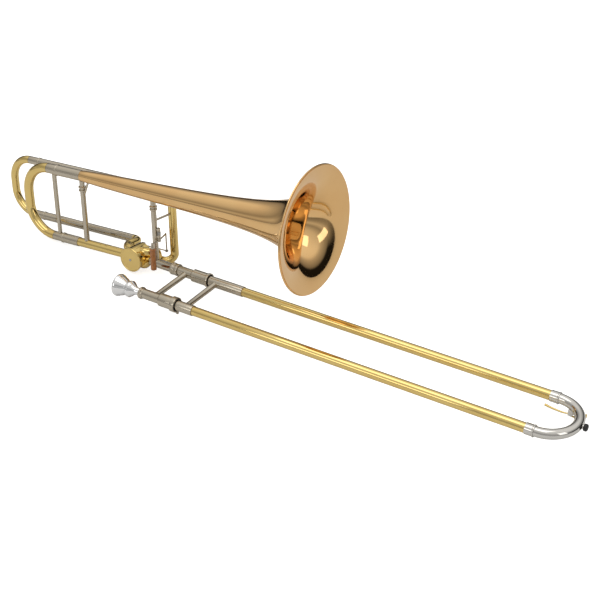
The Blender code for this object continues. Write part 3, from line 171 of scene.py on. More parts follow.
# Bell
LEG_SPACING = 0.1319  # from the main tube up to the bell's axis
BELL_MOUTH = 0.3506
BELL_RADIUS = 0.10795
BELL_START = -0.1378
FLARE_POWER = 0.554
FLARE_REACH = 0.0120
TAIL_NARROWING = 0.0037
TAIL_SHAPE = 8  # the higher, the nearer to the tail the narrowing stays
BELL_WALL = 0.0006
RIM_BEAD = 0.0016

# Main tuning slide
MAIN_BOW_BACK = -0.2715
MAIN_CORNER = 0.054
MAIN_JOINT = -0.1970  # where the moving legs enter the sleeves
UPPER_LEG_RADIUS = 0.0084
LOWER_LEG_RADIUS = 0.0074
LEG_WALL = 0.0006
LEG_FERRULE_WALL = 0.0008
TUNING_SLEEVE_WALL = 0.0011
MAIN_LEG_DEPTH = 0.052
LOWER_SLEEVE_END = -0.1570
MAIN_TUBE_RADIUS = 0.0081
MAIN_BRACE_X = -0.2035

# Attachment tubing, on the far side
F_SIDE = 0.045
F_LOW = 0.0095
F_HIGH = 0.1175
F_BOW_BACK = -0.3495
F_CORNER = 0.044
F_JOINT = -0.2830
F_SLEEVE_FRONT = -0.1660
F_LEG_RADIUS = 0.0065
F_SLEEVE_WALL = 0.0007
F_LEG_DEPTH = 0.075
F_TUBE_RADIUS = 0.0075
F_TUBE_WALL = 0.0006
F_CROOK_CORNER = 0.026
F_CROOK_DROP = 0.0134
F_ELBOW_CORNER = 0.015
F_BRACE_X = -0.2490
F_FRONT_X = 0.0258
F_TUBE_FRONT = -0.0150
F_STRUT_X = -0.1800

# Rotor
ROTOR_X = -0.0230
ROTOR_Z = 0.0020
ROTOR_RADIUS = 0.0175
CASING_WALL = 0.0028
CASING_NEAR = -0.0175
CASING_FAR = 0.0150
CAP_RISE = 0.0020
CAP_THICKNESS = 0.0032
PLATE_THICKNESS = 0.0030
KNUCKLE_RADIUS = 0.0079
KNUCKLE_WALL = 0.0010
KNUCKLE_RUN = 0.018
PORT_STRAIGHT = 0.0020
PORT_BEND = 0.0125
PORT_SOCKET = 0.0010
FRONT_PORT_FALL = radians(12)
CROOK_BEND = 0.0095
SPINDLE_RADIUS = 0.0035
STOP_ARM_SIDE = 0.0222
STOP_ARM_THICKNESS = 0.0022
STOP_ARM_LENGTH = 0.0108
STOP_PIN_RADIUS = 0.0012
BUMPER_PLACE = 0.0080
BUMPER_ANGLE = radians(24)  # from the stop arm, at each end of its swing
STOP_BUMPER_RADIUS = 0.0016

# Thumb trigger
TRIGGER_X = 0.0290
TRIGGER_LOW = 0.0475
TRIGGER_HIGH = 0.0665
TRIGGER_SWING = radians(30)
HINGE_RADIUS = 0.0031
HINGE_WAIST = 0.0023
HINGE_SHOULDER = 0.0055
SPRING_WIRE = 0.00035
LEVER_PIN_RADIUS = 0.0011
LEVER_Z = 0.0440
LEVER_RADIUS = 0.0014
HANDLE_SIDE = -0.0200
HANDLE_RADIUS = 0.0052
HANDLE_LENGTH = 0.0400
HANDLE_STEM = 0.0085
HANDLE_BORE_DEPTH = 0.0280
TANG_RADIUS = 0.0017
LINK_RADIUS = 0.0012
LINK_HALF = 0.0014  # half the height of the link's eyes
EYE_RIM = 0.0014
LUG_HALF = 0.0017

# Braces between the main tube and the bell
REAR_BRACE_X = -0.1390
FRONT_BRACE_X = 0.0204
UPRIGHT_RADIUS = 0.0048
FOOT_FLARE = 0.0016
REAR_STAY_X = -0.1230
REAR_STAY_LOW = 0.0950
STAY_RADIUS = 0.0020
CROOK_STAY_Z = 0.0790
TUNING_BRACE_RADIUS = 0.0036
F_BRACE_RADIUS = 0.0034
REAR_BRACE_RINGS = ((0.1045, 0.0070, 0.0022), (0.1105, 0.0070, 0.0022))  # height, radius, half length
FRONT_BRACE_RINGS = ((0.1005, 0.0068, 0.0021), (0.1055, 0.0068, 0.0021))

NEAR_Y = -SLIDE_SPACING / 2
FAR_Y = SLIDE_SPACING / 2
SIDES = (("near", NEAR_Y), ("far", FAR_Y))
OUTER_BORE = STOCKING_RADIUS + RUNNING
OUTER_RADIUS = OUTER_BORE + OUTER_WALL
SLEEVE_RADIUS = OUTER_RADIUS + GAP + SLEEVE_WALL
POCKET_RADIUS = SLEEVE_RADIUS + POCKET_PLAY
BARREL_THIN = INNER_RADIUS + GAP + BARREL_BACK_WALL
BARREL_THICK = POCKET_RADIUS + BARREL_FRONT_WALL
BARREL_RING = BARREL_THICK + BARREL_RING_RISE
TENON_BORE = TENON_RADIUS - TENON_WALL
RECEIVER_TUBE = SHANK_RADIUS + GAP + RECEIVER_WALL
RECEIVER_RING = RECEIVER_TUBE + RECEIVER_RING_RISE
UPPER_LEG_BORE = UPPER_LEG_RADIUS - LEG_WALL
F_LEG_BORE = F_LEG_RADIUS - LEG_WALL
F_TUBE_BORE = F_TUBE_RADIUS - F_TUBE_WALL
UPPER_SLEEVE_RADIUS = UPPER_LEG_RADIUS + RUNNING + TUNING_SLEEVE_WALL
LOWER_SLEEVE_RADIUS = LOWER_LEG_RADIUS + RUNNING + TUNING_SLEEVE_WALL
F_SLEEVE_RADIUS = F_LEG_RADIUS + RUNNING + F_SLEEVE_WALL
KNUCKLE_BORE = KNUCKLE_RADIUS - KNUCKLE_WALL
PASSAGE_BORE = KNUCKLE_BORE - GAP
ROTOR_BORE = ROTOR_RADIUS + RUNNING
CASING_RADIUS = ROTOR_BORE + CASING_WALL
CAP_RADIUS = CASING_RADIUS + CAP_RISE
PORT_REACH = ROTOR_RADIUS * sin(radians(45))  # a port's centre on the rotor's rim, along x and z
STOP_REST = radians(135)
STOP_TURN = radians(90)
LEVER_LENGTH = STOP_ARM_LENGTH * sin(STOP_TURN / 2) / sin(TRIGGER_SWING / 2)
LINK_SIDE = LEVER_LENGTH * cos(TRIGGER_SWING / 2)
LINK_Z = ROTOR_Z + STOP_ARM_LENGTH * (1 + cos(STOP_TURN / 2)) / 2
NECK_DIRECTION = Vector((cos(BELL_TILT), 0, -sin(BELL_TILT)))  # the slide's axis, in the bell's frame
X_AXIS = Vector((1, 0, 0))
Y_AXIS = Vector((0, 1, 0))
Z_AXIS = Vector((0, 0, 1))

# Stage. A sky's points are height, from straight down at 0 to straight up at 1, and brightness.

BACK_SKY = (
    (0.0, 0.25),
    (0.40, 0.25),
    (0.47, 0.01),
    (0.60, 0.012),
    (0.64, 0.22),
    (0.75, 0.46),
    (0.82, 0.80),
    (1.0, 0.90),
)
FRONT_SKY = ((0.0, 0.12), (0.40, 0.20), (0.50, 0.30), (0.58, 0.55), (0.66, 0.30), (0.80, 0.62), (1.0, 0.80))
SKY_WARMTH = (0.99, 0.97)  # green's and blue's share of red
FLOOR_AHEAD = 1.0  # from the camera's foot to the floor's near edge
FLOOR_HALF = 8.0
FLOOR_GLOW = 0.75
LIGHTS = (  # name, place, aim, width, height, share of the key light's power
    ("overhead_light", (0.1, -0.2, 1.8), (0.1, 0, 0), 1.8, 1.2, 1.0),
    ("front_light", (-0.6, -2.2, 0.9), (0.1, 0, 0.05), 1.2, 0.8, 0.6),
    ("right_light", (2.4, -0.6, 1.0), (0.2, 0, 0.05), 0.8, 1.2, 0.5),
)
CAMERA_PLACE = (1.1914, -1.46405, 1.1421)
CAMERA_RIGHT = (0.8455, 0.5339, -0.0039)
CAMERA_DOWN = (0.2806, -0.4505, -0.8475)
CAMERA_AHEAD = (-0.4543, 0.7155, -0.5308)
CAMERA_LENS = 76.85
CAMERA_SENSOR = 36.0


# Sizes and colours that a user may change


def number_property(name, description, default, unit="LENGTH"):
    return FloatProperty(name=name, description=description, default=default, unit=unit)


class TromboneSizes(bpy.types.PropertyGroup):
    edge_radius: number_property("Edge radius", "How far turned and milled edges are rounded", 0.0003)
    wire_turns: IntProperty(name="Spring turns", description="Turns of the spring", default=8, min=2)
    screw_radius: number_property("Cap screw radius", "Radius of the screw in the rotor cap", 0.0024)
    floor_gap: number_property("Floor gap", "How far the floor lies under the lowest piece", 0.004)
    key_light: number_property("Key light", "Power of the overhead light, the others' base", 7.0, "POWER")


def colour_property(name, description, default):
    return FloatVectorProperty(
        name=name, description=description, default=default, size=3, min=0.0, max=1.0, subtype="COLOR"
    )


class TromboneColours(bpy.types.PropertyGroup):
    gold_brass: colour_property("Gold brass", "Lacquered gold brass of the bell", (0.87, 0.56, 0.25))
    yellow_brass: colour_property("Yellow brass", "Lacquered yellow brass of the tubes", (0.84, 0.63, 0.24))
    nickel_silver: colour_property("Nickel silver", "Nickel silver of sleeves and braces", (0.56, 0.50, 0.40))
    bright_nickel: colour_property("Bright nickel", "Nickel of the slide's crook", (0.70, 0.68, 0.64))
    silver: colour_property("Silver", "Silver plate of the mouthpiece", (0.88, 0.88, 0.88))
    steel: colour_property("Steel", "Steel of the link and the spring", (0.52, 0.50, 0.46))
    copper_wood: colour_property("Trigger handle", "Reddish wood of the trigger's handle", (0.58, 0.22, 0.06))
    rubber: colour_property("Rubber", "Black rubber of the bumpers", (0.018, 0.018, 0.019))
    cork: colour_property("Cork", "Natural cork", (0.50, 0.36, 0.21))
    floor: colour_property("Floor", "The pale floor", (0.80, 0.80, 0.80))


def sizes():
    return bpy.context.scene.trombone_sizes


def colours():
    return bpy.context.scene.trombone_colours


# Shader groups


def new_group(name, inputs, outputs):
    """An empty shader group. Inputs are (name, socket type, default), and outputs (name, socket type)."""
    group = bpy.data.node_groups.new(name, "ShaderNodeTree")
    for label, kind, default in inputs:
        socket = group.interface.new_socket(label, in_out="INPUT", socket_type=kind)
        socket.default_value = default
    for label, kind in outputs:
        group.interface.new_socket(label, in_out="OUTPUT", socket_type=kind)
    return group, group.nodes.new("NodeGroupInput"), group.nodes.new("NodeGroupOutput")


def stretched_noise(group, stretch, scale, detail):
    """Noise over the object's own coordinates, stretched by three factors. Scale is a number or a socket."""
    place = group.nodes.new("ShaderNodeTexCoord")
    mapping = group.nodes.new("ShaderNodeMapping")
    mapping.inputs["Scale"].default_value = stretch
    noise = group.nodes.new("ShaderNodeTexNoise")
    noise.inputs["Detail"].default_value = detail
    group.links.new(place.outputs["Object"], mapping.inputs["Vector"])
    group.links.new(mapping.outputs["Vector"], noise.inputs["Vector"])
    if isinstance(scale, bpy.types.NodeSocket):
        group.links.new(scale, noise.inputs["Scale"])
    else:
        noise.inputs["Scale"].default_value = scale
    return noise.outputs["Fac"]


def spread(group, value, low, high, to_low, to_high):
    """Maps a socket's range low to high onto another, held at its ends. The ends may be sockets."""
    node = group.nodes.new("ShaderNodeMapRange")
    for label, end in (("From Min", low), ("From Max", high), ("To Min", to_low), ("To Max", to_high)):
        if isinstance(end, bpy.types.NodeSocket):
            group.links.new(end, node.inputs[label])
        else:
            node.inputs[label].default_value = end
    group.links.new(value, node.inputs["Value"])
    return node.outputs["Result"]


def blended(group, factor, first, second):
    mix = group.nodes.new("ShaderNodeMix")
    mix.data_type = "RGBA"
    group.links.new(factor, mix.inputs["Factor"])
    group.links.new(first, mix.inputs["A"])
    group.links.new(second, mix.inputs["B"])
    return mix.outputs["Result"]


def handling_group():
    """Where hands and cloths have dulled a lacquered or plated surface."""
    group, given, out = new_group(
        "Handling",
        [
            ("Scale", "NodeSocketFloat", 30.0),
            ("Clean", "NodeSocketFloat", 0.08),
            ("Dulled", "NodeSocketFloat", 0.16),
        ],
        [("Mask", "NodeSocketFloat"), ("Roughness", "NodeSocketFloat")],
    )
    cloud = stretched_noise(group, (1, 1, 1), given.outputs["Scale"], 4)
    mask = spread(group, cloud, 0.42, 0.68, 0.0, 1.0)
    group.links.new(mask, out.inputs["Mask"])
    roughness = spread(group, mask, 0.0, 1.0, given.outputs["Clean"], given.outputs["Dulled"])
    group.links.new(roughness, out.inputs["Roughness"])
    return group


def drawn_group():
    """Fine lines along the tubes, from drawing and polishing."""
    group, given, out = new_group(
        "Drawn lines",
        [("Scale", "NodeSocketFloat", 2600.0)],
        [("Height", "NodeSocketFloat")],
    )
    group.links.new(stretched_noise(group, (0.02, 1, 1), given.outputs["Scale"], 2), out.inputs["Height"])
    return group


MOTTLES = {  # the noise's stretch, scale and detail, the part of its range that darkens, the dark's share
    "Tarnish": ((1, 1, 1), 14.0, 5, 0.40, 0.75, 0.4),
    "Wood grain": ((1, 1, 0.08), 1400.0, 5, 0.38, 0.66, 1.0),
    "Speckle": ((1, 1, 1), 900.0, 6, 0.45, 0.62, 1.0),
}


def mottled_group(name):
    """A colour that gives way to a darker one, as tarnish, wood grain or the cells of cork and rubber."""
    stretch, scale, detail, low, high, amount = MOTTLES[name]
    group, given, out = new_group(
        name,
        [
            ("Base", "NodeSocketColor", (1, 1, 1, 1)),
            ("Dark", "NodeSocketColor", (0.1, 0.1, 0.1, 1)),
            ("Scale", "NodeSocketFloat", scale),
            ("Amount", "NodeSocketFloat", amount),
        ],
        [("Color", "NodeSocketColor"), ("Height", "NodeSocketFloat")],
    )
    noise = stretched_noise(group, stretch, given.outputs["Scale"], detail)
    share = spread(group, noise, low, high, 0.0, given.outputs["Amount"])
    group.links.new(blended(group, share, given.outputs["Base"], given.outputs["Dark"]), out.inputs["Color"])
    group.links.new(noise, out.inputs["Height"])
    return group


GROUP_MAKERS = {"Handling": handling_group, "Drawn lines": drawn_group}


def placed_group(material, name, **values):
    """The named group, built at its first use, placed in a material with its own values."""
    group = bpy.data.node_groups.get(name)
    if not group:
        group = mottled_group(name) if name in MOTTLES else GROUP_MAKERS[name]()
    node = material.node_tree.nodes.new("ShaderNodeGroup")
    node.node_tree = group
    for label, value in values.items():
        node.inputs[label].default_value = value
    return node


METALS = {  # patch colour's share of the base, patch amount, clean and dulled roughness, line depth, coat
    "gold_brass": ((0.86, 0.72, 0.60), 0.35, 0.055, 0.12, 0.010, 0.10),
    "yellow_brass": ((0.90, 0.80, 0.62), 0.40, 0.07, 0.15, 0.015, 0.10),
    "nickel_silver": ((0.86, 0.84, 0.78), 0.45, 0.13, 0.24, 0.020, 0.05),
    "bright_nickel": ((0.86, 0.84, 0.80), 0.35, 0.06, 0.14, 0.012, 0.05),
    "silver": ((0.84, 0.82, 0.78), 0.30, 0.05, 0.11, 0.008, 0.0),
    "steel": ((0.74, 0.72, 0.68), 0.50, 0.20, 0.34, 0.030, 0.0),
}


def shaded(colour):
    return (*colour, 1.0)


def finish_material(finish):
    """The finish's material, built at its first use."""
    made = bpy.data.materials.get(finish + "_finish")
    if made:
        return made
    material = bpy.data.materials.new(finish + "_finish")
    material.use_nodes = True
    nodes, links = material.node_tree.nodes, material.node_tree.links
    shader = nodes["Principled BSDF"]
    bump = nodes.new("ShaderNodeBump")
    links.new(bump.outputs["Normal"], shader.inputs["Normal"])
    base = tuple(getattr(colours(), finish))
    if finish in METALS:
        share, amount, clean, dulled, depth, coat = METALS[finish]
        dark = tuple(a * b for a, b in zip(base, share))
        tarnish = placed_group(material, "Tarnish", Base=shaded(base), Dark=shaded(dark), Amount=amount)
        handling = placed_group(material, "Handling", Clean=clean, Dulled=dulled)
        lines = placed_group(material, "Drawn lines")
        links.new(tarnish.outputs["Color"], shader.inputs["Base Color"])
        links.new(handling.outputs["Roughness"], shader.inputs["Roughness"])
        links.new(lines.outputs["Height"], bump.inputs["Height"])
        shader.inputs["Metallic"].default_value = 1.0
        shader.inputs["Coat Weight"].default_value = coat
        shader.inputs["Coat Roughness"].default_value = 0.04
        bump.inputs["Strength"].default_value = depth
        bump.inputs["Distance"].default_value = 0.0002
        return material
    dark = tuple(0.35 * part for part in base)
    if finish == "copper_wood":
        surface = placed_group(material, "Wood grain", Base=shaded(base), Dark=shaded(dark))
        shader.inputs["Roughness"].default_value = 0.32
        shader.inputs["Coat Weight"].default_value = 0.4
        bump.inputs["Strength"].default_value = 0.25
    else:
        scale = 1500.0 if finish == "cork" else 2600.0
        surface = placed_group(material, "Speckle", Base=shaded(base), Dark=shaded(dark), Scale=scale)
        shader.inputs["Roughness"].default_value = 0.85 if finish == "cork" else 0.55
        bump.inputs["Strength"].default_value = 0.5 if finish == "cork" else 0.2
    bump.inputs["Distance"].default_value = 0.0003
    links.new(surface.outputs["Color"], shader.inputs["Base Color"])
    links.new(surface.outputs["Height"], bump.inputs["Height"])
    return material


# Shapes

unsettled = []
helpers = []


def add_object(name, mesh_data, origin, parent):
    """Links the mesh as an object whose origin is at the given point of the parent's frame."""
    origin = Vector(origin)
    bmesh.ops.translate(mesh_data, verts=mesh_data.verts, vec=-origin)
    bmesh.ops.recalc_face_normals(mesh_data, faces=mesh_data.faces)
    mesh = bpy.data.meshes.new(name)
    mesh_data.to_mesh(mesh)
    mesh_data.free()
    obj = bpy.data.objects.new(name, mesh)
    bpy.context.scene.collection.objects.link(obj)
    obj.location = origin
    obj.parent = parent
    return obj


def piece(name, finish, mesh_data, origin=(0, 0, 0), parent=None, body=None):
    """A fine piece that stands for the CAD node of that name. A named body makes it a detail on that body."""
    obj = add_object("fine_" + name, mesh_data, origin, parent)
    unsettled.append((obj, name, finish, body))
    return obj


def helper(name, mesh_data, parent=None):
    """A shape that only cuts or joins another."""
    obj = add_object(name, mesh_data, (0, 0, 0), parent)
    obj.hide_render = True
    helpers.append(obj)
    return obj


def two_tone(obj, finish, reach):
    """The faces behind a distance along x, in the piece's own frame, take a second finish."""
    obj.data.materials.append(None)
    obj.data.materials.append(finish_material(finish))
    for face in obj.data.polygons:
        if face.center.x < reach:
            face.material_index = 1


def combine(obj, other, operation):
    modifier = obj.modifiers.new(operation.title() + " " + other.name, "BOOLEAN")
    modifier.operation = operation
    modifier.solver = "EXACT"
    modifier.object = other


def cut(obj, *cutters):
    for cutter in cutters:
        combine(obj, cutter, "DIFFERENCE")


def join(obj, *others):
    for other in others:
        combine(obj, other, "UNION")


def join_shapes(obj, prefix, parent, **shapes):
    """Joins each (label, mesh) to the piece, in the order given."""
    for label, mesh_data in shapes.items():
        join(obj, helper(f"{prefix}_{label}", mesh_data, parent))


def settle():
    """Applies every waiting piece's cuts and joins, gives it its finish and lets it ride on its body."""
    bpy.context.view_layer.update()
    graph = bpy.context.evaluated_depsgraph_get()
    for obj, name, finish, body in unsettled:
        mesh = bpy.data.meshes.new_from_object(obj.evaluated_get(graph))
        mesh.transform(obj.matrix_world)
        if not mesh.polygons:
            raise RuntimeError(f"{obj.name} has no faces")
        mesh_data = bmesh.new()
        mesh_data.from_mesh(mesh)
        bmesh.ops.remove_doubles(mesh_data, verts=mesh_data.verts, dist=MERGE_DISTANCE)
        bmesh.ops.dissolve_degenerate(mesh_data, edges=mesh_data.edges, dist=MERGE_DISTANCE)
        mesh_data.to_mesh(mesh)
        mesh_data.free()
        mesh.shade_smooth()
        mesh.set_sharp_from_angle(angle=SHARP_ANGLE)
        if len(mesh.materials) < 2:
            mesh.materials.clear()
            mesh.materials.append(finish_material(finish))
        else:
            mesh.materials[0] = finish_material(finish)
        label = obj.name
        bpy.data.objects.remove(obj)
        fine = bpy.data.objects.new(label, mesh)
        bpy.context.scene.collection.objects.link(fine)
        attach(fine, body or NODE_BODY[name])
        if not body:
            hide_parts(name)
    for obj in helpers:
        bpy.data.objects.remove(obj)
    unsettled.clear()
    helpers.clear()


def rounded(outline, closed):
    """The outline with each of its sharp corners turned to a small round."""
    reach = sizes().edge_radius
    count = len(outline)
    made = []
    for i, corner in enumerate(outline):
        before, after = outline[i - 1], outline[(i + 1) % count]
        if (not closed and i in (0, count - 1)) or corner[1] == 0:
            made.append(corner)
            continue
        corner, before, after = Vector(corner), Vector(before), Vector(after)
        back, on = before - corner, after - corner
        room = min(reach, 0.35 * back.length, 0.35 * on.length)
        if room < 1e-5 or back.angle(on) > radians(155):
            made.append(tuple(corner))
            continue
        start, end = corner + back.normalized() * room, corner + on.normalized() * room
        for t in (0.0, 0.25, 0.5, 0.75, 1.0):
            point = start * (1 - t) ** 2 + corner * 2 * t * (1 - t) + end * t**2
            made.append(tuple(point))
    return made


def round_sides(radius):
    """Sides enough for a round of that radius to look smooth."""
    for limit, sides in ((0.0012, 20), (0.004, 32), (0.012, 56), (0.03, 80)):
        if radius < limit:
            return sides
    return 168


def turned(outline, start, direction=X_AXIS, closed=True):
    """A solid of revolution: (distance along the axis, radius) points, spun about the axis from start."""
    outline = rounded(outline, closed)
    mesh_data = bmesh.new()
    verts = [mesh_data.verts.new((along, 0, radius)) for along, radius in outline]
    pairs = list(zip(verts, verts[1:]))
    if closed:
        pairs.append((verts[-1], verts[0]))
    edges = [mesh_data.edges.new(pair) for pair in pairs]
    sides = round_sides(max(radius for _, radius in outline))
    bmesh.ops.spin(
        mesh_data, geom=verts + edges, cent=(0, 0, 0), axis=X_AXIS, angle=2 * pi, steps=sides, use_merge=True
    )
    bmesh.ops.remove_doubles(mesh_data, verts=mesh_data.verts, dist=1e-7)
    turn = X_AXIS.rotation_difference(Vector(direction)).to_matrix().to_4x4()
    bmesh.ops.transform(mesh_data, matrix=Matrix.Translation(start) @ turn, verts=mesh_data.verts)
    return mesh_data


def rod(start, end, radius):
    """A solid round rod between two points."""
    start, end = Vector(start), Vector(end)
    length = (end - start).length
    outline = [(0, 0), (0, radius), (length, radius), (length, 0)]
    return turned(outline, start, end - start, closed=False)


def tube(start, end, outer, bore):
    """A straight round tube between two points."""
    start, end = Vector(start), Vector(end)
    length = (end - start).length
    outline = [(0, bore), (0, outer), (length, outer), (length, bore)]
    return turned(outline, start, end - start)


def swept(route, radii, bores=None):
    """A round bar along a route or, with bores, a tube. Both are one number or one for each point."""
    count = len(route)
    route = [Vector(point) for point in route]
    radii = list(radii) if hasattr(radii, "__len__") else [radii] * count
    sides = round_sides(max(radii))
    tangents = [(route[min(i + 1, count - 1)] - route[max(i - 1, 0)]).normalized() for i in range(count)]
    across = tangents[0].orthogonal().normalized()
    frames = []
    for i, tangent in enumerate(tangents):
        if i:
            across = tangents[i - 1].rotation_difference(tangent) @ across
        across = (across - tangent * across.dot(tangent)).normalized()
        frames.append((across.copy(), tangent.cross(across)))
    mesh_data = bmesh.new()

    def rings(sizes):
        made = []
        for point, (side, up), size in zip(route, frames, sizes):
            ring = []
            for k in range(sides):
                angle = 2 * pi * k / sides
                ring.append(mesh_data.verts.new(point + size * (cos(angle) * side + sin(angle) * up)))
            made.append(ring)
        return made

    def skin(first, second):
        for k in range(sides):
            following = (k + 1) % sides
            mesh_data.faces.new((first[k], first[following], second[following], second[k]))

    outside = rings(radii)
    for first, second in zip(outside, outside[1:]):
        skin(first, second)
    if bores is None:
        mesh_data.faces.new(outside[0])
        mesh_data.faces.new(outside[-1])
        return mesh_data
    bores = list(bores) if hasattr(bores, "__len__") else [bores] * count
    inside = rings(bores)
    for first, second in zip(inside, inside[1:]):
        skin(first, second)
    skin(outside[0], inside[0])
    skin(outside[-1], inside[-1])
    return mesh_data


def arc(centre, radius, start, end, first, second, steps):
    """Points on an arc from one angle to another, in the plane of two unit vectors."""
    points = []
    for i in range(steps + 1):
        angle = start + (end - start) * i / steps
        points.append(Vector(centre) + radius * (cos(angle) * Vector(first) + sin(angle) * Vector(second)))
    return points


def smooth_route(points, steps):
    """A smooth curve through the points, with the same number of steps in each span."""
    points = [Vector(point) for point in points]
    padded = [2 * points[0] - points[1], *points, 2 * points[-1] - points[-2]]
    route = [points[0]]
    for i in range(1, len(padded) - 2):
        a, b, c, d = padded[i - 1 : i + 3]
        for k in range(1, steps + 1):
            t = k / steps
            bend, twist = 2 * a - 5 * b + 4 * c - d, 3 * b - a - 3 * c + d
            route.append(0.5 * (2 * b + (c - a) * t + bend * t**2 + twist * t**3))
    return route


def box(low, high):
    mesh_data = bmesh.new()
    bmesh.ops.create_cube(mesh_data, size=1)
    low, high = Vector(low), Vector(high)
    size = high - low
    matrix = Matrix.Translation((low + high) / 2) @ Matrix.Diagonal((*size, 1))
    bmesh.ops.transform(mesh_data, matrix=matrix, verts=mesh_data.verts)
    offset = min(sizes().edge_radius, 0.2 * min(size))
    edges = mesh_data.edges[:]
    bmesh.ops.bevel(mesh_data, geom=edges, offset=offset, segments=3, profile=0.5, affect="EDGES")
    return mesh_data


def saddle_cutter(name, centre, direction, radius, reach=0.016, parent=None):
    """A bar as wide as a tube and its gap, which shapes the foot of what is soldered to the tube."""
    centre, direction = Vector(centre), Vector(direction).normalized()
    return helper(name, rod(centre - direction * reach, centre + direction * reach, radius + GAP), parent)


def mirrored(half, length):
    """An outline whose far half is its near half seen in a mirror."""
    return half + [(length - along, radius) for along, radius in reversed(half)]


def post_outline(length, radius, foot, rings=()):
    """A brace: a bar that widens to a foot at each end, with turned rings on the way."""
    flare = 2.2 * (foot - radius)
    half = [(0, 0), (0, foot), (flare * 0.4, radius + (foot - radius) * 0.35), (flare, radius)]
    outline = mirrored(half, length)
    turned_rings = []
    for middle, ring_radius, reach in rings:
        turned_rings += [
            (middle - reach, radius),
            (middle - reach * 0.5, ring_radius),
            (middle + reach * 0.5, ring_radius),
            (middle + reach, radius),
        ]
    return outline[: len(half)] + turned_rings + outline[len(half) :]


def slide_point(x, y):
    """A point in the plane of the two slide tubes."""
    return Vector((x, y, 0))


# Inner slide


def build_inner_slide():
    """The two inner tubes with their barrels, corks, leadpipe, receiver and brace."""
    bore = INNER_RADIUS + GAP
    ring_back = BARREL_FRONT - 0.004
    tube_start = BARREL_BACK + 0.0025
    back = [
        (BARREL_BACK, BARREL_THIN),
        (BARREL_STEP, BARREL_THIN),
        (BARREL_STEP + 0.0025, BARREL_THICK),
    ]
    pocket = [(BARREL_FRONT, POCKET_RADIUS), (POCKET_START, POCKET_RADIUS), (POCKET_START, bore)]
    near_outline = [(BARREL_BACK, bore), *back, (BARREL_FRONT, BARREL_THICK), *pocket]
    piece("near_cork_barrel", "nickel_silver", turned(near_outline, slide_point(0, NEAR_Y)))
    far_outline = [
        (TENON_BACK, TENON_BORE),
        (TENON_BACK, TENON_RADIUS),
        (BARREL_BACK, TENON_RADIUS),
        *back,
        (ring_back - 0.001, BARREL_THICK),
        (ring_back, BARREL_RING),
        (BARREL_FRONT, BARREL_RING),
        *pocket,
        (tube_start - GAP, bore),
        (tube_start - GAP, TENON_BORE),
    ]
    piece("far_cork_barrel", "nickel_silver", turned(far_outline, slide_point(0, FAR_Y)))
    near_start = MOUTHPIECE_RIM_X + MOUTHPIECE_LENGTH + 0.0035
    for name, y, start in (("near_inner_tube", NEAR_Y, near_start), ("far_inner_tube", FAR_Y, tube_start)):
        outline = [
            (start, INNER_BORE),
            (start, INNER_RADIUS),
            (INNER_END - STOCKING_LENGTH, INNER_RADIUS),
            (INNER_END - STOCKING_LENGTH + 0.002, STOCKING_RADIUS),
            (INNER_END, STOCKING_RADIUS),
            (INNER_END, INNER_BORE),
        ]
        piece(name, "bright_nickel", turned(outline, slide_point(0, y)))
    start = slide_point(near_start, NEAR_Y)
    end = start + X_AXIS * LEADPIPE_LENGTH
    piece("leadpipe", "yellow_brass", tube(start, end, INNER_BORE - GAP, SHANK_TIP - 0.0004))
    cork_outer = POCKET_RADIUS - GAP
    cork_start = POCKET_START + GAP
    for side, y in SIDES:
        start = slide_point(cork_start, y)
        piece(f"{side}_slide_cork", "cork", tube(start, start + X_AXIS * CORK_LENGTH, cork_outer, bore))
    shank_gap = SHANK_RADIUS + GAP
    receiver = [
        (RECEIVER_BACK, shank_gap),
        (RECEIVER_BACK, RECEIVER_RING - 0.0006),
        (RECEIVER_BACK + 0.0008, RECEIVER_RING),
        (RECEIVER_BACK + 0.0045, RECEIVER_RING),
        (RECEIVER_BACK + 0.0052, RECEIVER_TUBE),
        (BARREL_BACK - GAP, RECEIVER_TUBE),
        (BARREL_BACK - GAP, shank_gap),
    ]
    piece("mouthpiece_receiver", "nickel_silver", turned(receiver, slide_point(0, NEAR_Y)))
    build_cross_brace("inner_brace", 0.0, BARREL_THIN, BRACE_RADIUS)


def build_cross_brace(name, x, tube_radius, radius):
    """A brace between the two slide tubes, saddled onto both."""
    start = slide_point(x, NEAR_Y + tube_radius * SEAT)
    length = SLIDE_SPACING - 2 * tube_radius * SEAT
    outline = post_outline(length, radius, radius + BRACE_FOOT)
    brace = piece(name, "nickel_silver", turned(outline, start, Y_AXIS, closed=False), origin=(x, 0, 0))
    for side, y in SIDES:
        cut(brace, saddle_cutter(f"{name}_{side}_cutter", slide_point(x, y), X_AXIS, tube_radius))


